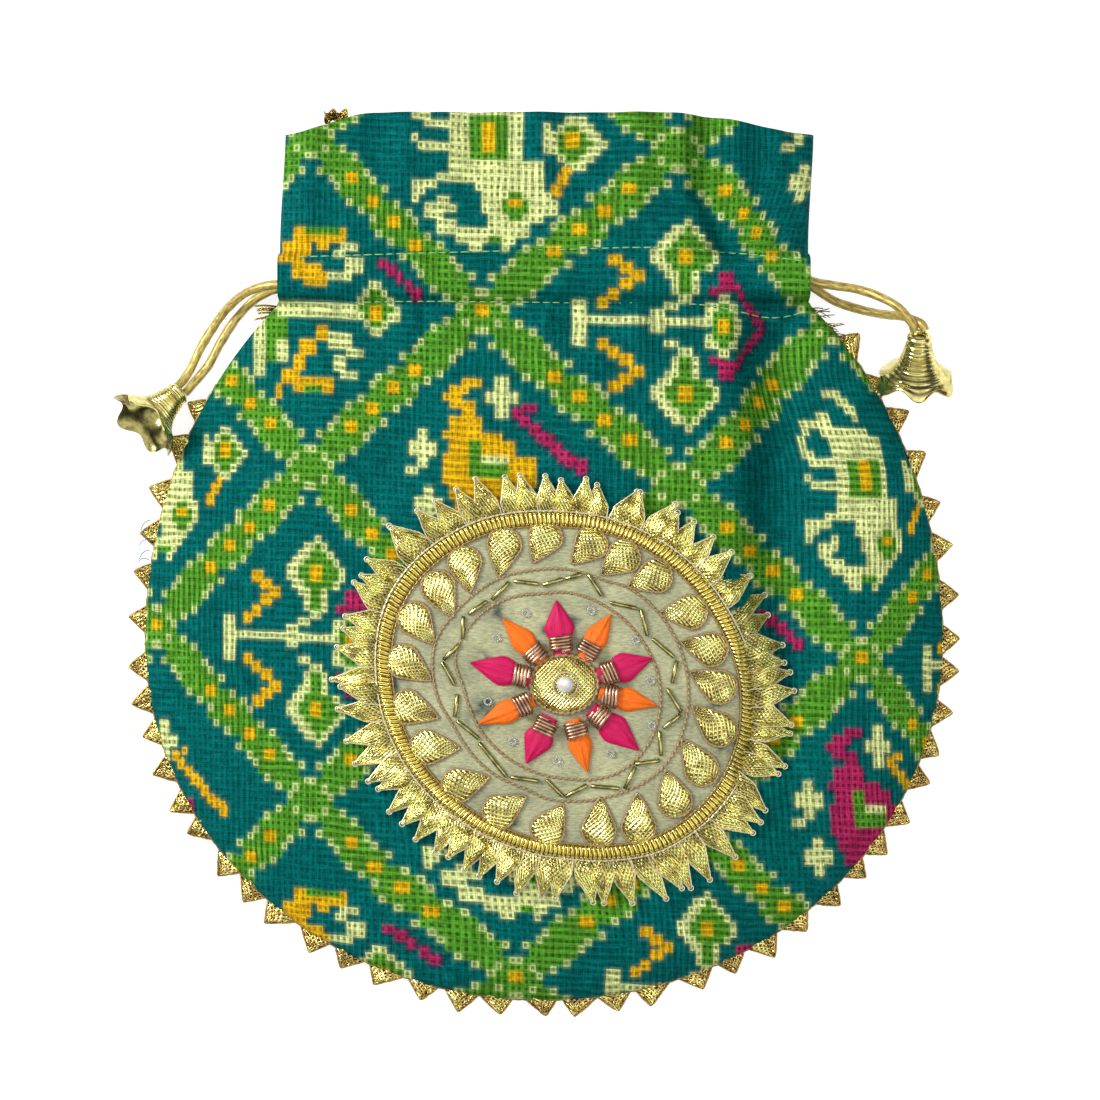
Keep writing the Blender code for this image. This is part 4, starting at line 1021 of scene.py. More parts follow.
ELEPHANT = [
    (-2.9, 12.5, -0.2, 11.5), (-0.7, 11.5, 1.3, 10.5), (0.3, 10.5, 2.2, 9.5), (1.7, 9.5, 3.2, 8.6),
    (-6.5, 9.4, -3.6, 8.5), (-10, 8.5, -3.1, 7.6), (-10, 7.6, -8, 6.6), (-5.6, 7.6, 3.4, 6.6), (-5.1, 6.6, 4.4, 5.8),
    (-4.9, 5.8, 6.1, 3.6), (-10.4, 5.8, -9.2, 4.2), (-11.4, 4.2, -8.4, 3.2), (-9.4, 3.4, -6.8, 2.4),
    (-7, 2.6, 5.9, 1.6), (-4.9, 3.8, 5.9, -1.8), (-11.2, 1.2, -9.7, -0.2), (-10, 0.2, -1.2, -1.4),
    (-4.6, -1.6, 8.6, -3.9), (-7.5, -3.9, 8.8, -5.2), (-11, -5.2, -6.6, -6.2), (-1.2, -5.2, 8.8, -6.2),
    (-11, -6.2, -8.6, -7.2), (-0.5, -6.2, 10, -7.2), (-11, -7.2, -9.6, -8.2), (-6.6, -7.2, -4.6, -8.2),
    (0, -7.2, 10.8, -8.4), (-8.6, -8.2, -4.4, -9.2), (0.3, -8.4, 10.5, -9.2), (-8.6, -9.2, -5.6, -10.1),
    (1.3, -9.2, 9.3, -10.1), (-7, -10.1, -3.9, -10.8), (1.4, -10.1, 7.4, -10.8), (-6.6, -10.8, 7.1, -11.9),
    (-3.9, -11.9, 5.2, -13.3), (-2.2, -13.3, 0.2, -14.2), (2.6, -13.3, 4.2, -14.2)]


def draw_elephant(cloth, u, v, squeeze=1.0):
    draw_boxes(cloth, CREAM, u, v, [(u0 * squeeze, v0, u1 * squeeze, v1) for u0, v0, u1, v1 in ELEPHANT])
    draw_boxes(cloth, GREEN, u, v, [(-1.6, 3.5, 3.9, -1.8), (4.2, -5.8, 6.2, -9.6), (3.0, -6.8, 7.4, -8.6),
                                    (0.6, -12.6, 2.8, -13.4)])
    draw_boxes(cloth, YELLOW, u, v, [(0.2, 2.6, 2.4, -0.6), (4.4, -7.2, 6.0, -8.4)])
    draw_flower(cloth, u + 13.3, v + 0.6, 3.4, 3.3)
    draw_boxes(cloth, CREAM, u, v, [(8.9, 2.6, 10.0, -0.9), (9.9, 1.4, 10.9, 0.2)])
    draw_zigzag(cloth, YELLOW, shifted([(12.2, -3.0), (11.6, -4.2), (10.6, -5.6)], u, v))
    draw_boxes(cloth, CREAM, u, v, [(15.0, -8.0, 16.5, -9.0)])


PARROT = [(-2.6, 13, -0.2, 11.8), (-4.9, 12.1, -2.4, 10.5), (-6.5, 10.7, -3.5, 9.6), (-5, 9.6, -2.7, 8.7),
          (-3.3, 9.6, -1.2, 8.0), (-5.0, 8.0, 0.4, 6.4), (-6.0, 6.0, -4.5, 5.2), (-5.2, 6.4, 3.0, 4.6),
          (-5.2, 4.6, 5.4, 2.8), (-5.6, 2.8, 8.2, 0.6), (-6.1, 0.6, 8.2, -1.4), (-4.6, -1.4, 6.6, -3.2),
          (-3.6, -3.2, 4.2, -5.0), (-2.4, -5.0, 1.6, -6.4)]


def draw_parrot(cloth, colour, other, u, v):
    draw_boxes(cloth, colour, u, v, PARROT)
    draw_boxes(cloth, GREEN, u, v, [(-1.6, 4.6, 0.0, 0.6), (-1.6, 1.5, 4.3, 0.2)])
    draw_boxes(cloth, CREAM, u, v, [(0.2, 1.9, 4.0, 1.5)])
    draw_cross(cloth, u + 3.0, v + 10.8)
    draw_cross(cloth, u - 9.2, v + 3.4)
    draw_boxes(cloth, CREAM, u, v, [(-11.6, 1.2, -9.6, -0.4)])
    draw_cross(cloth, u - 8.2, v - 4.0)
    draw_zigzag(cloth, other, shifted([(5.2, 8.6), (7.6, 6.8), (14.0, 1.8)], u, v), 1.5)
    draw_boxes(cloth, other, u, v, [(6.0, 9.6, 7.8, 8.6), (12.2, 3.2, 14.8, 2.2)])


PLANT_FLOWER = [
    (6, [(CREAM, -3, -1)]), (5, [(CREAM, -1, 1)]), (4, [(CREAM, -2, -1), (GREEN, -1, 1), (CREAM, 1, 2)]),
    (3, [(CREAM, -2, -1), (GREEN, -1, 1), (CREAM, 1, 2)]), (2, [(CREAM, -3, -1), (GREEN, -1, 1), (CREAM, 1, 2)]),
    (1, [(CREAM, -4, -2), (GREEN, -2, 3), (CREAM, 3, 4)]),
    (0, [(CREAM, -5, -3), (GREEN, -3, 4), (YELLOW, -1, 1), (CREAM, 4, 5)]),
    (-1, [(CREAM, -5, -3), (GREEN, -3, 4), (YELLOW, -1, 1), (CREAM, 4, 5)]),
    (-2, [(CREAM, -4, -2), (GREEN, -2, 3), (CREAM, 3, 4)]), (-3, [(CREAM, -3, -1), (GREEN, -1, 2), (CREAM, 2, 3)]),
    (-4, [(CREAM, -2, 0), (GREEN, 0, 1), (CREAM, 1, 2)]), (-5, [(CREAM, 0, 1)])]


def draw_flower_plant(cloth, u, v):
    u, axis = math.floor(u), math.floor(v - 0.1)
    draw_boxes(cloth, CREAM, u, axis, [(-15, 3, -13, -3), (-13, 0.5, 5, -0.5), (-4, 1.5, -2, -1.5)])
    draw_boxes(cloth, CREAM, u, axis, [(4, 3, 6, 1), (4, -1, 6, -3), (8, 3, 10, 1), (8, -1, 10, -3), (6, 3.6, 8, 2.6),
                                       (6, -2.6, 8, -3.6), (9, 1, 11, -1)])
    draw_boxes(cloth, GREEN, u, axis, [(5, 2, 9, -2), (6, 3, 8, -3)])
    draw_boxes(cloth, YELLOW, u, axis, [(6, 1, 8, -1)])
    for side in (1, -1):
        for du, out in ((-10.7, 2.6), (-9.2, 3.9), (-7.5, 5.0), (-6.0, 6.1), (-7.5, 7.3), (-8.9, 8.4)):
            cloth.box(YELLOW, u + du - 0.9, axis + side * out - 0.75, u + du + 0.9, axis + side * out + 0.75, 2)
        for row, parts in PLANT_FLOWER:
            low = axis + side * (9 - row) - (0.5 + 0.5 * side)
            for colour, first, last in parts:
                cloth.box(colour, u + 1 + first, low, u + 1 + last, low + 1)
        for du, out, wide in ((5.6, 4.5, 1), (7.5, 5.2, 1.6), (7.5, 6.3, 1.3), (9.6, 4.9, 0.7), (10.8, 4.0, 0.7),
                              (12, 3.1, 0.7), (13.3, 2.2, 0.7), (14.6, 1.3, 0.7), (16, 0.5, 0.7)):
            cloth.box(MAGENTA, u + du - wide, axis + side * out - 0.6, u + du + wide, axis + side * out + 0.6, 2)


def shifted(points, u, v):
    return [(p + u, q + v) for p, q in points]


def draw_bird_plant(cloth, u, v):
    axis = -0.8
    bird = [(-3.5, 9.9, 5.8, 7.7), (-4.6, 7.8, 0.0, 6.0), (-5.6, 6.2, -0.6, 4.6), (-3.2, 5.2, 1.6, 3.4),
            (-0.6, 3.6, 3.2, 1.8), (1.2, 7.8, 3.2, 7.0)]
    draw_boxes(cloth, YELLOW, u, v, bird)
    draw_boxes(cloth, YELLOW, u, v, [(0.9, -3.4, 2.9, -5.0), (-2.2, -5.0, 0.6, -6.8), (-3.5, -6.8, -1.2, -8.8),
                                     (-5.5, -8.8, -1.8, -10.6), (-2.8, -9.8, 4.2, -12.4), (-6.4, -11.4, -5, -12.6)])
    draw_boxes(cloth, GREEN, u, v, [(-1.2, 9.5, 4.6, 8.8), (-0.6, -11.0, 2.2, -12.4)])
    crosses = [(5.2, 8.0, 8.0, 7.0), (4.0, 7.2, 6.4, 5.8), (5.6, 5.8, 8.6, 4.2), (3.4, 4.0, 6.6, 2.8)]
    draw_boxes(cloth, CREAM, u, v, crosses, mirror=axis)
    draw_boxes(cloth, CREAM, u, v, [(-10.2, 3.4, -8.4, -10.0), (-6.5, 0.4, 15.4, -1.6), (-8.4, 1.0, -6.4, -2.6)])
    draw_boxes(cloth, GREEN, u, v, [(-8.4, -0.8, -5.6, -8.4), (-5.6, -2.4, -3.8, -6.6)])
    draw_boxes(cloth, CREAM, u, v, [(-5.6, -4.6, -4.2, -8.2)])
    draw_flower(cloth, u + 11.2, v + axis, 3.4, 3.2)
    draw_zigzag(cloth, MAGENTA, shifted([(12.2, 5.5), (17.9, 1.9)], u, v), 1.4, 1.3)


def draw_print(cloth):
    """Every lozenge of the lattice has its own figure, as on the real cloth."""
    lozenges = [(n, m) for n in range(-4, 5) for m in range(-6, 4) if (n + m) % 2]
    for n, m in lozenges:
        u, v = n * HALF_U, m * HALF_V
        if n % 2 == 0 and (m - 1 + n) % 4 == 0:
            draw_elephant(cloth, u - 0.2 * (n != 0), v + 0.9 * (n != 0), 0.8 if n else 1.0)
        elif n % 2 == 0:
            colour, other = (YELLOW, MAGENTA) if n == 0 else (MAGENTA, YELLOW)
            draw_parrot(cloth, colour, other, u - 1.5 * (n < 0), v - 4 * (n < 0))
        elif (m + n - 1) % 4 == 0:
            draw_flower_plant(cloth, u, v)
        else:
            draw_bird_plant(cloth, u, v)


def printed_cloth():
    cloth = Print()
    draw_print(cloth)
    draw_lattice(cloth, *PRINTED)
    # the dark dye bleeds beside the magenta
    for (i, j), colour in list(cloth.marks.items()):
        if colour == MAGENTA:
            for near in ((i + 1, j), (i, j - 1)):
                if cloth.at(*near) == TEAL:
                    cloth.marks[near] = NAVY
    return cloth


def add_allowance(shape, height, thick):
    """The seam allowance, turned in along a panel's whole edge; gives the number of faces added."""
    edges = {}
    for f in shape.faces:
        for a, b in zip(f, f[1:] + f[:1]):
            if (b, a) in edges:
                del edges[b, a]
            else:
                edges[a, b] = True
    turned, tucked = {}, {}
    for k in [k for edge in edges for k in edge]:
        if k in turned:
            continue
        p = shape.points[k]
        _, x, y = to_outline(p.x, p.y, ALLOWANCE)
        turned[k] = len(shape.points)
        tucked[k] = turned[k] + 1
        under = (min if thick > 0 else max)(p.z, height(x, y)) - 1.2 * thick
        shape.points += [p + Vector((0, 0, -thick)), Vector((x, y, under))]
    for a, b in edges:
        shape.face((b, a, turned[a], turned[b]))
        shape.face((turned[b], turned[a], tucked[a], tucked[b]))
    return 2 * len(edges)


PRINTED = (-66, 82, -94, 30)
ALLOWANCE = 0.0025
PRINT_DRIFT = 0.18


def make_cloth(name, node, height, cells, thick, mirrored=False):
    """A cloth panel whose faces follow the print's half checks and whose edge lies on the outline."""
    cloth = printed_cloth()
    u_low, u_high, v_low, v_high = PRINTED[0] + 1, PRINTED[1] - 2, PRINTED[2] + 1, PRINTED[3] - 1
    turn_over = mirrored != (thick < 0)
    count_u, count_v = int((u_high - u_low) * cells), int((v_high - v_low) * cells)
    points, inside = [], []
    for j in range(count_v + 1):
        for i in range(count_u + 1):
            u, v = u_low + i / cells, v_low + j / cells
            x, y = check_place(u + PRINT_DRIFT * noise.noise(Vector((u * 0.9, v * 0.3, 2.0))),
                               v + PRINT_DRIFT * noise.noise(Vector((u * 0.3, v * 0.9, 7.0))))
            if mirrored:
                x = -x
            ok, x, y = to_outline(x, y)
            inside.append(ok)
            points.append((x, y))
    shape = Shape()
    number = {}
    colours, meeting = [], {}
    wide = count_u + 1

    def colour_of(i, j):
        return PRINT_COLOURS[cloth.at(math.floor(2 * u_low + (2 * i + 1) / cells),
                                      math.floor(2 * v_low + (2 * j + 1) / cells))]

    def bled(own, i, j):
        """The dye at a corner: the face's own, with a share of what its neighbours have."""
        if (i, j) not in meeting:
            four = [colour_of(i + a, j + b) for a in (-1, 0) for b in (-1, 0)]
            meeting[i, j] = [sum(part) / 4 for part in zip(*four)]
        return tuple(mix(x, y, DYE_BLEED) for x, y in zip(own, meeting[i, j]))

    def vertex(k):
        if k not in number:
            number[k] = len(shape.points)
            x, y = points[k]
            shape.points.append(Vector((x, y, height(x, y))))
        return number[k]

    for j in range(count_v):
        for i in range(count_u):
            corner = [j * wide + i, j * wide + i + 1, (j + 1) * wide + i + 1, (j + 1) * wide + i]
            if not any(inside[k] for k in corner):
                continue
            around = ((0, 0), (1, 0), (1, 1), (0, 1))
            uv = [(u_low + (i + a) / cells, v_low + (j + b) / cells) for a, b in around]
            dyes = [bled(colour_of(i, j), i + a, j + b) for a, b in around]
            order = [vertex(k) for k in corner]
            if turn_over:
                order, uv, dyes = order[::-1], uv[::-1], dyes[::-1]
            shape.face(order, 0, uv)
            colours.append(dyes)
    colours += [[PRINT_COLOURS[TEAL]] * 4] * add_allowance(shape, height, thick)
    item = piece(name, shape, [IKAT], [node], smooth_angle=180)
    layer = item.data.color_attributes.new("print", "FLOAT_COLOR", "CORNER")
    layer.data.foreach_set("color", [part for dyes in colours for dye in dyes for part in dye])
    return item


front_cloth = make_cloth("front_cloth", "front_panel", front_top, 2, CLOTH)
back_cloth = make_cloth("back_cloth", "back_panel", back_low, 1, -CLOTH, mirrored=True)


# The lining: a thin pouch that follows the cloths from inside and is open at the mouth

LINING = 0.0005
LINING_INSET = 0.0016
LINING_ROOM = 0.0004
LINING_EASE = 0.0030
LINING_CINCH = 0.0062
CASING_LINING = (0.0042, 0.0122)


def lining_heights(x, y):
    """The outer faces of the lining under the front cloth and over the back one, clear of the drawcords."""
    around = ((0, 0), (-0.0012, 0), (0.0012, 0), (0, -0.0016), (0, 0.0016))
    highest = min(front_top(x + dx, y + dy) for dx, dy in around) - CLOTH - LINING_ROOM
    highest -= LINING_EASE * (1 - smooth(y, MOUTH_Y - 0.030, MOUTH_Y - 0.006)) * smooth(highest, 0.006, 0.012)
    low = back_low(x, y) + CLOTH + LINING_ROOM
    held = smooth(casing(y), 0.0, 0.5)
    low = mix(low, max(low, CASING_LINING[0]), held)
    highest = mix(highest, min(highest, CASING_LINING[1]), held)
    return max(highest, low + 2 * LINING), low


def make_lining():
    shape = Shape()
    across, rows_up = 110, 140
    outer, inner = [], []
    for i in range(rows_up + 1):
        y0 = mix(BODY_CENTRE_Y - BODY_LOWER + LINING_INSET + 0.0001, MOUTH_Y, i / rows_up)
        reach = half_width(y0) - LINING_INSET - LINING_CINCH * smooth(casing(y0), 0.0, 0.5)
        reach = max(0.002, reach)
        tops, lows = [], []
        for k in range(across + 1):
            x = centre_x(y0) + math.sin((2 * k / across - 1) * math.pi / 2) * reach
            y = y0 - (MOUTH_Y - mouth_line(x) + 0.0007) * smooth(y0, MOUTH_Y - 0.02, MOUTH_Y)
            top, low = lining_heights(x, y)
            tops.append(Vector((x, y, top)))
            lows.append(Vector((x, y, low)))
        outer.append(tops + lows[-2:0:-1])
        towards = Vector((1 - LINING / 0.07, 1, 1))
        inner.append([p * towards - Vector((0, 0, LINING)) for p in tops]
                     + [p * towards + Vector((0, 0, LINING)) for p in lows[-2:0:-1]])
    rows = outer + inner[::-1]
    start = shape.grid(rows, closed=True, uv_scale=(30, 0.5), flip=True)
    shape.cap(start, 2 * across)
    shape.cap(start + (len(rows) - 1) * 2 * across, 2 * across, flip=True)
    return piece("satin_lining", shape, [LINING_CLOTH], ["lining"], smooth_angle=60)


lining_item = make_lining()


# Ribbon triangles round the edge


def edge_point(angle, out):
    reach = BODY_UPPER if math.cos(angle) > 0 else BODY_LOWER
    x, y = BODY_HALF_WIDTH * math.sin(angle), reach * math.cos(angle)
    normal = Vector((x / BODY_HALF_WIDTH ** 2, y / reach ** 2)).normalized()
    return Vector((x + normal.x * out, BODY_CENTRE_Y + y + normal.y * out, 0))


def ribbon_point(shape, root, tip, half, rise, thick, seed, fold=0.5, cone=False):
    """A folded ribbon triangle: two flaps that meet in a raised fold, crumpled like foil."""
    local = random.Random(seed)
    along = tip - root
    length = along.length
    along.normalize()
    across = Vector((-along.y, along.x, 0)).normalized()
    steps, cols = 9, 8
    rows = []
    for i in range(steps + 1):
        t = i / steps
        wide = half * (1 - t) ** 0.92 + 0.0002
        swell = 1 - 0.55 * t
        if cone:
            wide = half * min(1.0, 1.7 * (1 - t) ** 0.9) * (0.86 + 0.14 * math.sin(math.pi * t)) + 0.00025
            swell = smooth(t, 0.05, 0.45) * (1 - 0.6 * smooth(t, 0.5, 1.0))
        row = []
        for j in range(cols + 1):
            s = 2 * j / cols - 1
            off = s - (2 * fold - 1)
            ridge = 1 - off / (2 - 2 * fold) if off > 0 else 1 + off / (2 * fold)
            lift = rise * (0.1 + ridge) * swell
            lift += local.uniform(-1, 1) * (0.00034 if cone else 0.00045) * (0 < j < cols)
            sway = local.uniform(-1, 1) * 0.00012
            p = root + along * (length * t + sway) + across * (wide * s)
            row.append(Vector((p.x, p.y, root.z + (tip.z - root.z) * t + thick + max(0.0, lift))))
        rows.append(row)
    shape.grid(rows, uv_scale=(1.0, 1.0), flip=True)
    base = [[Vector((p.x, p.y, root.z + (tip.z - root.z) * (i / steps))) for p in (row[0], row[-1])]
            for i, row in enumerate(rows)]
    shape.grid(base)
    for side in (0, 1):
        rim = [[pair[side], row[0 if side == 0 else -1].copy()] for pair, row in zip(base, rows)]
        shape.grid(rim, flip=side == 0)
    wire = [p + Vector((0, 0, 0.0002)) for p in [row[0] for row in rows] + [row[-1] for row in rows[::-1]]]
    shape.tube(even_path(wire, 0.00045, smooth_steps=4), 0.00025 if cone else 0.00030, 5, 1,
               section=twisted(0.0011, 0.5))


POINT_HALF, POINT_RISE, POINT_OUT = 0.0060, 0.0028, 0.0048


def make_edge_points():
    shape = Shape()
    step = (TRIM_END - TRIM_START) / TRIM_COUNT
    low = SEAM_HEIGHT - TRIM_THICKNESS / 2
    for i in range(TRIM_COUNT):
        angle = TRIM_START + (i + 0.5 + rand.uniform(-0.10, 0.10)) * step
        lean = rand.uniform(-0.16, 0.16) * step
        root, tip = edge_point(angle, -0.0030), edge_point(angle + lean, POINT_OUT + rand.uniform(-0.0006, 0.0007))
        root.z, tip.z = low, low + rand.uniform(-0.0005, 0.0004)
        half = POINT_HALF + 0.0009 * smooth(-math.cos(angle), 0.5, 0.9) + rand.uniform(-0.0006, 0.0004)
        ribbon_point(shape, root, tip, half, POINT_RISE, 0.0002, 100 + i, fold=rand.choice((0.25, 0.35, 0.7)))
    piece("edge_points", shape, [EDGE_RIBBON, DARK_WIRE], ["edge_trim"], smooth_angle=28)


make_edge_points()


# The medallion, read in degrees clockwise from the mouth side and photograph pixels from its middle

RING_OUT = [(0, 180), (60, 178), (90, 188), (120, 197), (150, 194), (165, 185), (180, 177), (210, 172), (240, 176),
            (270, 185), (300, 197), (330, 192)]
FRINGE_TIP = [(0, 217), (30, 215), (60, 217), (75, 218), (90, 223), (100, 232), (120, 237), (140, 248), (150, 245),
              (160, 238), (170, 230), (180, 220), (200, 217), (220, 215), (240, 218), (260, 223), (280, 231),
              (300, 236), (320, 238), (330, 232), (345, 228)]
OUTER_THREAD = [(0, 122), (20, 117), (30, 120), (60, 120), (90, 122), (110, 125), (130, 128), (155, 123), (170, 120),
                (190, 117), (200, 113), (220, 115), (250, 118), (265, 127), (290, 137), (300, 135), (315, 132),
                (330, 130), (345, 125)]
INNER_THREAD = [(0, 98), (30, 92), (60, 90), (90, 94), (110, 98), (130, 102), (150, 103), (170, 98), (180, 95),
                (210, 93), (240, 95), (270, 101), (285, 113), (310, 113), (330, 107), (345, 100)]
BUGLES = [(0, 112, 8, 118), (11, 119, 21, 101), (27, 98, 41, 108), (43, 110, 57, 97), (60, 100, 74, 112),
          (76, 114, 88, 106), (91, 101, 103, 118), (104, 118, 114, 106), (116, 104, 127, 119), (129, 121, 139, 106),
          (140, 108, 151, 121), (153, 118, 166, 106), (168, 104, 180, 114), (181, 114, 191, 98), (195, 101, 210, 108),
          (212, 110, 236, 103), (238, 101, 252, 113), (254, 114, 266, 107), (271, 110, 282, 125), (283, 124, 293, 114),
          (296, 113, 306, 125), (308, 122, 319, 118), (321, 116, 333, 122), (335, 121, 346, 110), (348, 108, 359, 112)]
PETALS = [(3, 128, 12, 166), (17, 122, 25, 163), (31, 121, 40, 162), (51, 121, 60, 163), (68, 124, 77, 166),
          (83, 125, 92, 170), (99, 128, 108, 177), (115, 128, 124, 178), (131, 132, 139, 178), (147, 132, 155, 181),
          (163, 120, 168, 170), (181, 122, 188, 166), (199, 120, 209, 162), (219, 120, 228, 164), (239, 122, 247, 168),
          (256, 130, 264, 174), (273, 133, 281, 180), (289, 138, 297, 182), (303, 133, 311, 180), (316, 136, 324, 179),
          (330, 132, 340, 176), (346, 133, 355, 172)]
LEAVES = [(354.5, 90), (31, 88), (71, 91), (102, 93), (132, 98), (166, 91), (206, 88), (246, 94), (285, 97), (319, 94)]
SEQUINS = [(18, 83), (55, 85), (85.5, 85), (115, 95), (147, 82), (186, 77), (223, 77), (259, 78), (307, 85), (333, 86)]
GROUND_LIFT = 0.0009
SECOND_LIFT = 0.0012


def polar(degrees, pixels, above=0.0):
    """The point over the cloth at a clockwise angle and a radius in photograph pixels."""
    angle = math.radians(degrees)
    x = MEDALLION[0] + pixels * PIXEL * math.sin(angle)
    y = MEDALLION[1] + pixels * PIXEL * math.cos(angle) * MEDALLION_SQUASH
    return lifted(Vector((x, y, 0)), above)


def lifted(point, above):
    """The place at a height above the cloth under a point."""
    return Vector((point.x, point.y, base_top(point.x, point.y) + fine_folds(point.x, point.y) + above))


BUGLE_RADIUS = 0.00056
# Dye marks on the velvet: degrees, pixels from the middle, and size in pixels
STAINS = [(3, 68, 9), (85, 55, 8), (250, 88, 13), (258, 80, 9), (290, 85, 8), (273, 168, 13), (110, 172, 12),
          (320, 103, 9), (98, 150, 8), (200, 150, 6), (340, 60, 6)]
FRINGE_COUNT = 66
FRINGE_HALF, FRINGE_RISE = 0.0029, 0.0019


def make_ground():
    shape = Shape()
    steps, around = 39, 240
    rings = []
    for i in range(steps + 1):
        row = []
        for k in range(around):
            degrees = k * 360 / around
            reach = (along_knots(RING_OUT, degrees, 360) - 4) * i / steps
            row.append(polar(degrees, reach, GROUND_LIFT if i < steps else 0.0002))
        rings.append(row)
    shape.grid(rings, closed=True, flip=True)
    ground = piece("velvet_ground", shape, [VELVET], smooth_angle=180)
    layer = ground.data.color_attributes.new("stain", "FLOAT_COLOR", "POINT")
    for mark, p in zip(layer.data, shape.points):
        value = 0.0
        for degrees, pixels, size in STAINS:
            spread = (p - polar(degrees, pixels, GROUND_LIFT)).length / (size * PIXEL)
            value += math.exp(-spread ** 2) * (0.75 + 1.3 * noise.noise(p / 0.0022))
        value = min(0.9, max(0.0, value))
        mark.color = (value, value, value, 1)
    shape = Shape()
    for a0, r0, a1, r1 in BUGLES:
        start, end = polar(a0, r0, GROUND_LIFT + BUGLE_RADIUS), polar(a1, r1, GROUND_LIFT + BUGLE_RADIUS)
        along = (end - start).normalized()
        path = [start, start + along * 0.00015, end - along * 0.00015, end]
        tube_with(shape, path, [0.7 * BUGLE_RADIUS, BUGLE_RADIUS, BUGLE_RADIUS, 0.7 * BUGLE_RADIUS], 12)
    item = piece("bugle_beads", shape, [BUGLE], smooth_angle=60)
    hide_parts("medallion_ground")


def tube_with(shape, path, radii, sides, slot=0):
    """A tube whose radius is given at each of its points."""
    rows = [[c + (s * math.cos(2 * math.pi * j / sides) + u * math.sin(2 * math.pi * j / sides)) * r
             for j in range(sides)] for (c, s, u), r in zip(carried_frames(path), radii)]
    start = shape.grid(rows, slot, closed=True)
    shape.cap(start, sides, slot, flip=True)
    shape.cap(start + (len(rows) - 1) * sides, sides, slot)


def make_fringe():
    shape = Shape()
    for i in range(FRINGE_COUNT):
        degrees = i * 360 / FRINGE_COUNT + rand.uniform(-1.0, 1.0)
        lean = rand.uniform(-2.5, 3.0)
        inner = along_knots(RING_OUT, degrees, 360) - 6
        root = polar(degrees, inner, 0.0007)
        reach = along_knots(FRINGE_TIP, degrees, 360) + rand.uniform(-4, 4)
        tip = polar(degrees + lean, reach, 0.0008 + rand.uniform(0, 0.0016))
        ribbon_point(shape, root, tip, FRINGE_HALF + rand.uniform(-0.0002, 0.0002), FRINGE_RISE, 0.0002, 300 + i,
                     fold=rand.choice((0.24, 0.30, 0.72)), cone=True)
        shape.tube(circle(tip, 0.0007, 10, 0.0003), 0.00020, 5, 1, loop=True)
    piece("fringe_points", shape, [FRINGE_RIBBON, WIRE], ["medallion_fringe"], smooth_angle=32)


BRAID_RIBS = 250
RIB_STEPS = 6


def make_braid():
    shape = Shape()
    rows = []
    for i in range(BRAID_RIBS * RIB_STEPS):
        degrees = i * 360 / (BRAID_RIBS * RIB_STEPS)
        outer = along_knots(RING_OUT, degrees, 360)
        rib = (0.5 - 0.5 * math.cos(2 * math.pi * i / RIB_STEPS)) ** 0.6
        row = []
        for j in range(9):
            t = j / 8
            crown = math.sin(math.pi * t) ** 0.3
            row.append(polar(degrees + 0.35 * (t - 0.5), outer - 13 * (1 - t), SECOND_LIFT + 0.0003
                             + crown * (0.0004 + 0.0005 * rib)))
        rows.append(row)
    rows.append([p.copy() for p in rows[0]])
    shape.grid(rows, uv_scale=(2.0, BRAID_RIBS), flip=True)
    for slot, reach in ((2, -14.5), (1, 1.8)):
        path = [polar(d, along_knots(RING_OUT, d, 360) + reach, SECOND_LIFT + 0.0003) for d in range(0, 360, 4)]
        shape.tube(even_path(path, 0.0004, True), 0.00034, 6, slot, loop=True, section=twisted(0.0016, 0.55))
    piece("braid_band", shape, [BRAID, WIRE, DARK_WIRE], ["braid_ring"], smooth_angle=60)


def make_thread_rings():
    for name, node, knots in (("twisted_ring_outer", "thread_ring_outer", OUTER_THREAD),
                              ("twisted_ring_inner", "thread_ring_inner", INNER_THREAD)):
        shape = Shape()
        path = [polar(d, along_knots(knots, d, 360), SECOND_LIFT - 0.0001) for d in range(0, 360, 5)]
        shape.tube(even_path(path, 0.00028, True), 0.00048, 7, loop=True, section=twisted(0.0016, 0.6))
        piece(name, shape, [TWIST], [node], smooth_angle=60)


PETAL_HALF, PETAL_HIGH = 0.0046, 0.0015
PETAL_WIDEST = 0.60


def make_petals():
    for number, (a0, r0, a1, r1) in enumerate(PETALS, 1):
        shape = Shape()
        start = polar(a0, r0)
        along, across, length = level_frame(start, polar(a1, r1))
        rows = []
        for i in range(17):
            s = i / 16
            past = (s - PETAL_WIDEST) / (1 - PETAL_WIDEST)
            f = (s / PETAL_WIDEST) ** 0.8 if past < 0 else math.sqrt(max(0.0, 1 - past ** 2.3))
            row = []
            for j in range(13):
                t = 2 * j / 12 - 1
                side = PETAL_HALF * f * t * (1.12 if t > 0 else 0.88)
                p = start + along * length * s + across * side
                dome = max(0.0, 1 - t * t) ** 0.5 * math.sin(math.pi * min(1, max(0, s * 0.96 + 0.02))) ** 0.5
                row.append(lifted(p, GROUND_LIFT + 0.0003 + PETAL_HIGH * dome * min(1.0, f * 1.2)))
            rows.append(row)
        shape.grid(rows, uv_scale=(0.8, 1.3))
        outline = [row[0] for row in rows] + [row[-1] for row in rows[-2:0:-1]]
        path = [lifted(p, GROUND_LIFT + 0.0005) for p in outline]
        shape.tube(even_path(path, 0.00034, True, 4), 0.00042, 6, 1, loop=True, section=twisted(0.0013, 0.55))
        piece(f"gold_petal_{number:02d}", shape, [PETAL_RIBBON, TWIST], [f"petal_{number:02d}"],
              smooth_angle=70)


PINK_HALF, ORANGE_HALF = 0.0040, 0.0032
LEAF_ROOT = 34
COIL_FROM, COIL_TO, COIL_TURNS = 38, 53.5, 4.6


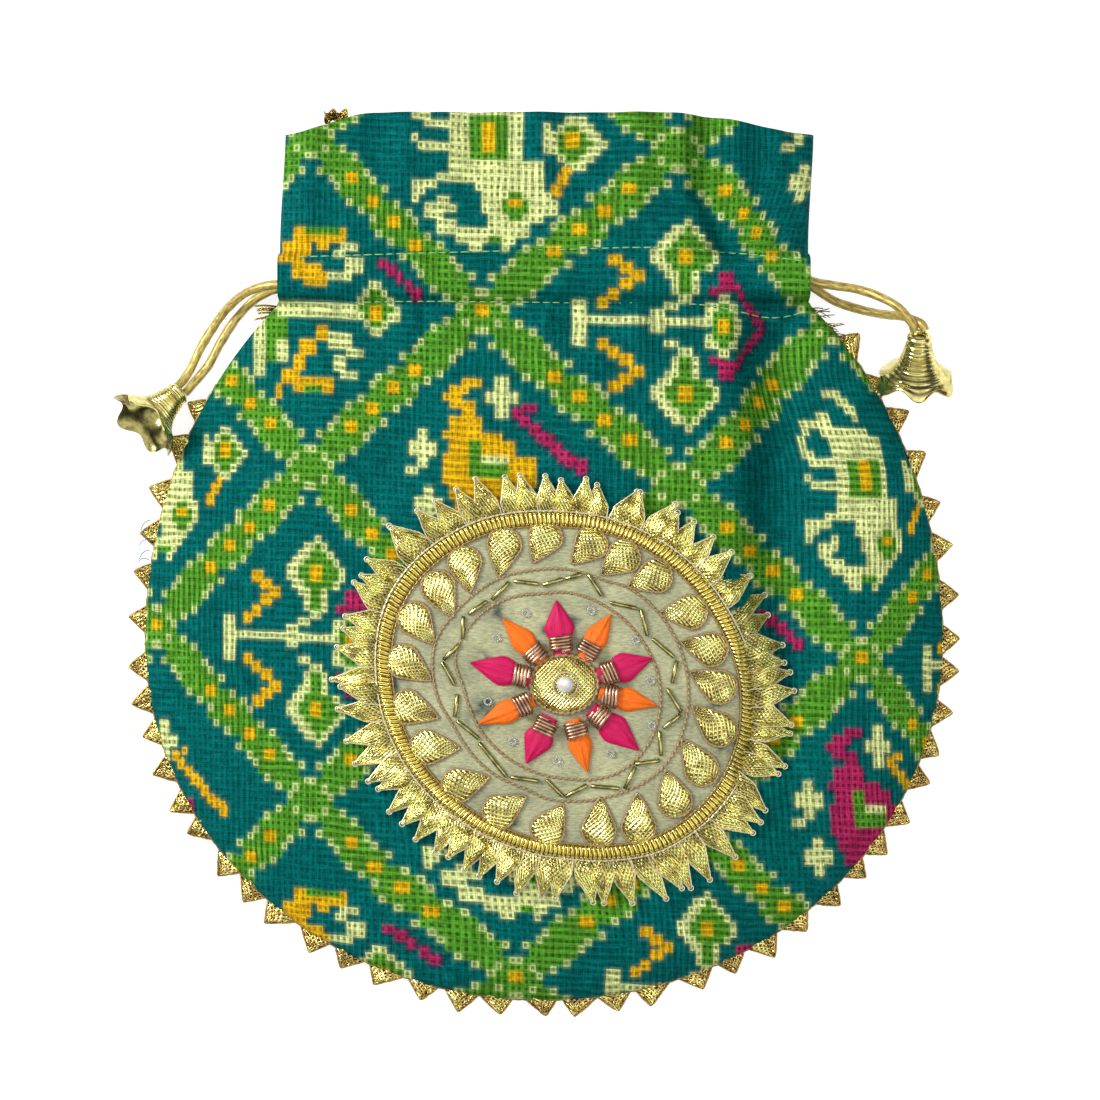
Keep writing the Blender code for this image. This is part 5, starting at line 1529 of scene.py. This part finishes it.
def make_leaves():
    for number, (degrees, tip) in enumerate(LEAVES, 1):
        pink = bool(number % 2)
        local = random.Random(500 + number)
        shape = Shape()
        start = polar(degrees, LEAF_ROOT)
        along, across, length = level_frame(start, polar(degrees, tip))
        wide = PINK_HALF if pink else ORANGE_HALF
        fold = local.uniform(-0.25, 0.25)
        rows = []
        for i in range(15):
            s = i / 14
            f = mix(0.55, 1.0, smooth(s, 0.12, 0.50)) * min(1.0, (1.03 - s) / 0.50) + 0.01
            row = []
            for j in range(13):
                t = 2 * j / 12 - 1
                p = start + along * length * s + across * wide * f * t
                dome = math.sqrt(max(0.0, 1 - t * t)) * (0.35 + 0.65 * math.sin(math.pi * min(1.0, s + 0.1)))
                pleat = 0.00022 * math.cos(9 * (t - fold)) * smooth(s, 0, 0.4) * (1 - s)
                pinch = 0.0004 * math.exp(-((t - fold) / 0.16) ** 2) * smooth(s, 0.25, 0.8)
                row.append(lifted(p, SECOND_LIFT + 0.0001 + max(0.0, 0.0013 * dome + pleat + pinch)))
            rows.append(row)
        shape.grid(rows, uv_scale=(1.0, 1.0))
        piece(f"silk_leaf_{number:02d}", shape, [PINK if pink else ORANGE],
              [f"leaf_{number:02d}"], smooth_angle=70)
        # the coil of bullion wire over the leaf's root
        shape = Shape()
        first, last = polar(degrees, COIL_FROM), polar(degrees, COIL_TO)
        path = []
        steps = 104
        for k in range(steps + 1):
            t = k / steps
            angle = 2 * math.pi * COIL_TURNS * t
            p = first.lerp(last, t) + across * (0.0027 * math.sin(angle))
            path.append(lifted(p, SECOND_LIFT + 0.0014 + 0.0010 * math.cos(angle)))
        shape.tube(path, 0.00050, 7)
        piece(f"bullion_coil_{number:02d}", shape, [COPPER], [f"coil_{number:02d}"], smooth_angle=80)


PEARL_RADIUS = 0.0023
DISC_MIDDLE = (564, 683)


def make_centre():
    shape = Shape()
    middle = spot(*DISC_MIDDLE)
    rows = []
    for i in range(22):
        s = i / 21
        row = []
        for k in range(96):
            a = 2 * math.pi * k / 96
            x, y = middle.x + 0.0088 * s * math.sin(a), middle.y + 0.0076 * s * math.cos(a)
            rib = 0.00010 * math.cos(a * 48) * smooth(s, 0.3, 0.6)
            dome = 0.0020 * math.sqrt(max(0.0, 1 - s ** 3)) + rib * (s < 0.98)
            row.append(Vector((x, y, base_top(x, y) + SECOND_LIFT + dome)))
        rows.append(row)
    shape.grid(rows, closed=True, flip=True)
    shape.uvs = [((shape.points[k].x - middle.x) * 130, (shape.points[k].y - middle.y) * 130)
                 for f in shape.faces for k in f]
    rope = [lifted(middle + Vector((0.0090 * math.sin(a), 0.0078 * math.cos(a), 0)), SECOND_LIFT + 0.0005)
            for a in (2 * math.pi * k / 60 for k in range(60))]
    shape.tube(even_path(rope, 0.0003, True), 0.00060, 7, 1, loop=True, section=twisted(0.0017, 0.55))
    piece("padded_disc", shape, [PETAL_RIBBON, TWIST], ["centre_disc"], smooth_angle=70)
    shape = Shape()
    centre = lifted(spot(565, 683), SECOND_LIFT + 0.0020 + 0.0023)
    rows = []
    for i in range(25):
        a = math.pi * i / 24
        rows.append(circle(centre, PEARL_RADIUS * math.sin(a), 40, (PEARL_RADIUS - 0.0001) * math.cos(a)))
    shape.grid(rows, closed=True)
    ring = even_path(circle(centre, 0.0033, 40, -0.0016), 0.0004, True)
    shape.tube(ring, 0.00030, 6, 1, loop=True, section=twisted(0.0012, 0.5))
    piece("pearl_bead", shape, [PEARL, WIRE], ["centre_pearl"], smooth_angle=80)


def make_sequins():
    shape = Shape()
    for degrees, pixels in SEQUINS:
        shape.tube(circle(polar(degrees, pixels, GROUND_LIFT + 0.0004), 0.0009, 20), 0.00035, 8, loop=True)
    piece("ring_sequins", shape, [CLEAR], smooth_angle=80)


make_ground()
make_fringe()
make_braid()
make_thread_rings()
make_petals()
make_leaves()
make_centre()
make_sequins()


# Stitch rows of the casing


# Each row's places in photograph pixels, and where it starts and stops
STITCH_ROWS = [([(300, 258), (420, 254), (560, 250), (660, 248), (740, 254), (800, 262)], 300, 800),
               ([(285, 305), (400, 302), (560, 303), (700, 305), (770, 317), (805, 312)], 290, 803)]
STITCH_LONG, STITCH_GAP = 8.0, 2.6


def make_stitches():
    shape = Shape()
    for knots, low, high in STITCH_ROWS:
        at = low
        while at < high:
            reach = STITCH_LONG + rand.uniform(-0.8, 0.8)
            path = []
            for k in range(6):
                px = at + reach * k / 5
                p = spot(px, along_knots(knots, px))
                bow = math.sin(math.pi * k / 5)
                p.z = front_top(p.x, p.y) + 0.00028 * bow - 0.0001
                path.append(p)
            tube_with(shape, path, [0.00012, 0.00018, 0.00019, 0.00019, 0.00018, 0.00012], 6)
            at += reach + STITCH_GAP
    piece("casing_stitches", shape, [STITCH], smooth_angle=80)


make_stitches()


# Loose ends: frayed threads at the trim's two starts, a crumpled ribbon end and the heading along the seam


def thread_between(shape, start, bend, end, radius, slot=0, sides=6):
    """A thread that bows from start towards bend and on to end, thinner at its end."""
    steps = 14
    shares = [k / steps for k in range(steps + 1)]
    path = [(1 - t) ** 2 * start + 2 * t * (1 - t) * bend + t * t * end for t in shares]
    tube_with(shape, path, [radius] * steps + [radius * 0.5], sides, slot)


def make_frayed_threads():
    """Dark and gold threads at the edging's right start, gold ones at its left, blue ones at the left seam."""
    shape = Shape()
    level = SEAM_HEIGHT + 0.0004
    for k in range(18):
        start = spot(809 + k * 1.15, 305 + k * 1.9, level)
        reach = 21 + rand.uniform(-6, 6)
        turn = rand.uniform(-0.5, 0.35)
        end = start + Vector((reach * math.cos(turn), reach * math.sin(turn), rand.uniform(-3, 7))) * PIXEL
        bend = (start + end) / 2 + Vector((0, rand.uniform(-3, 3), rand.uniform(1, 6))) * PIXEL
        thread_between(shape, start, bend, end, 0.00015, 0 if k % 3 else 1)
    for k in range(6):
        start = spot(275 - k * 1.2, 305 + k * 2.2, level)
        end = spot(255 + rand.uniform(-4, 4), 305 + k * 2.7 + rand.uniform(-2, 2), level + rand.uniform(0, 0.001))
        thread_between(shape, start, (start + end) / 2 + Vector((0, 0.0005, 0.0008)), end, 0.00030, 1)
    for k in range(6):
        start = spot(146 + rand.uniform(0, 3), 520 + k * 10, level)
        end = spot(137 + rand.uniform(-3, 4), 528 + k * 9 + rand.uniform(-5, 5), level + rand.uniform(-0.001, 0.001))
        thread_between(shape, start, (start + end) / 2 + Vector((-0.0006, 0.0012, 0.0005)), end, 0.00012, 2)
    piece("frayed_threads", shape, [DARK_THREAD, EDGE_RIBBON, LOOSE], smooth_angle=80)


def make_ribbon_end():
    """The end of the ribbon, crumpled behind the mouth's edge."""
    shape = Shape()
    rows = []
    for i in range(9):
        row = []
        for j in range(15):
            p = spot(324 + 1.7 * j, 122 - 1.5 * i + 2.5 * math.sin(j * 0.9), 0)
            p.z = front_top(p.x, mouth_line(p.x) - 0.001) - 0.0023 + 0.0005 * math.sin(1.9 * j + 1.1 * i)
            p.z += 0.0002 * rand.uniform(-1, 1)
            row.append(p)
        rows.append(row)
    shape.grid(rows)
    shape.grid([[p - Vector((0, 0, 0.0003)) for p in row] for row in rows], flip=True)
    piece("ribbon_end", shape, [EDGE_RIBBON], smooth_angle=30)


def make_ribbon_heading():
    """The ribbon's woven heading, which shows as a thin line along the seam."""
    shape = Shape()
    steps = 560
    path = []
    for k in range(steps + 1):
        angle = mix(TRIM_START - 0.02, TRIM_END + 0.02, k / steps)
        p = edge_point(angle, 0.0001)
        p.z = SEAM_HEIGHT + 0.00045
        path.append(p)
    shape.tube(path, 0.00036, 6, section=twisted(0.0013, 0.5))
    piece("ribbon_heading", shape, [DARK_WIRE], smooth_angle=80)


make_frayed_threads()
make_ribbon_end()
make_ribbon_heading()
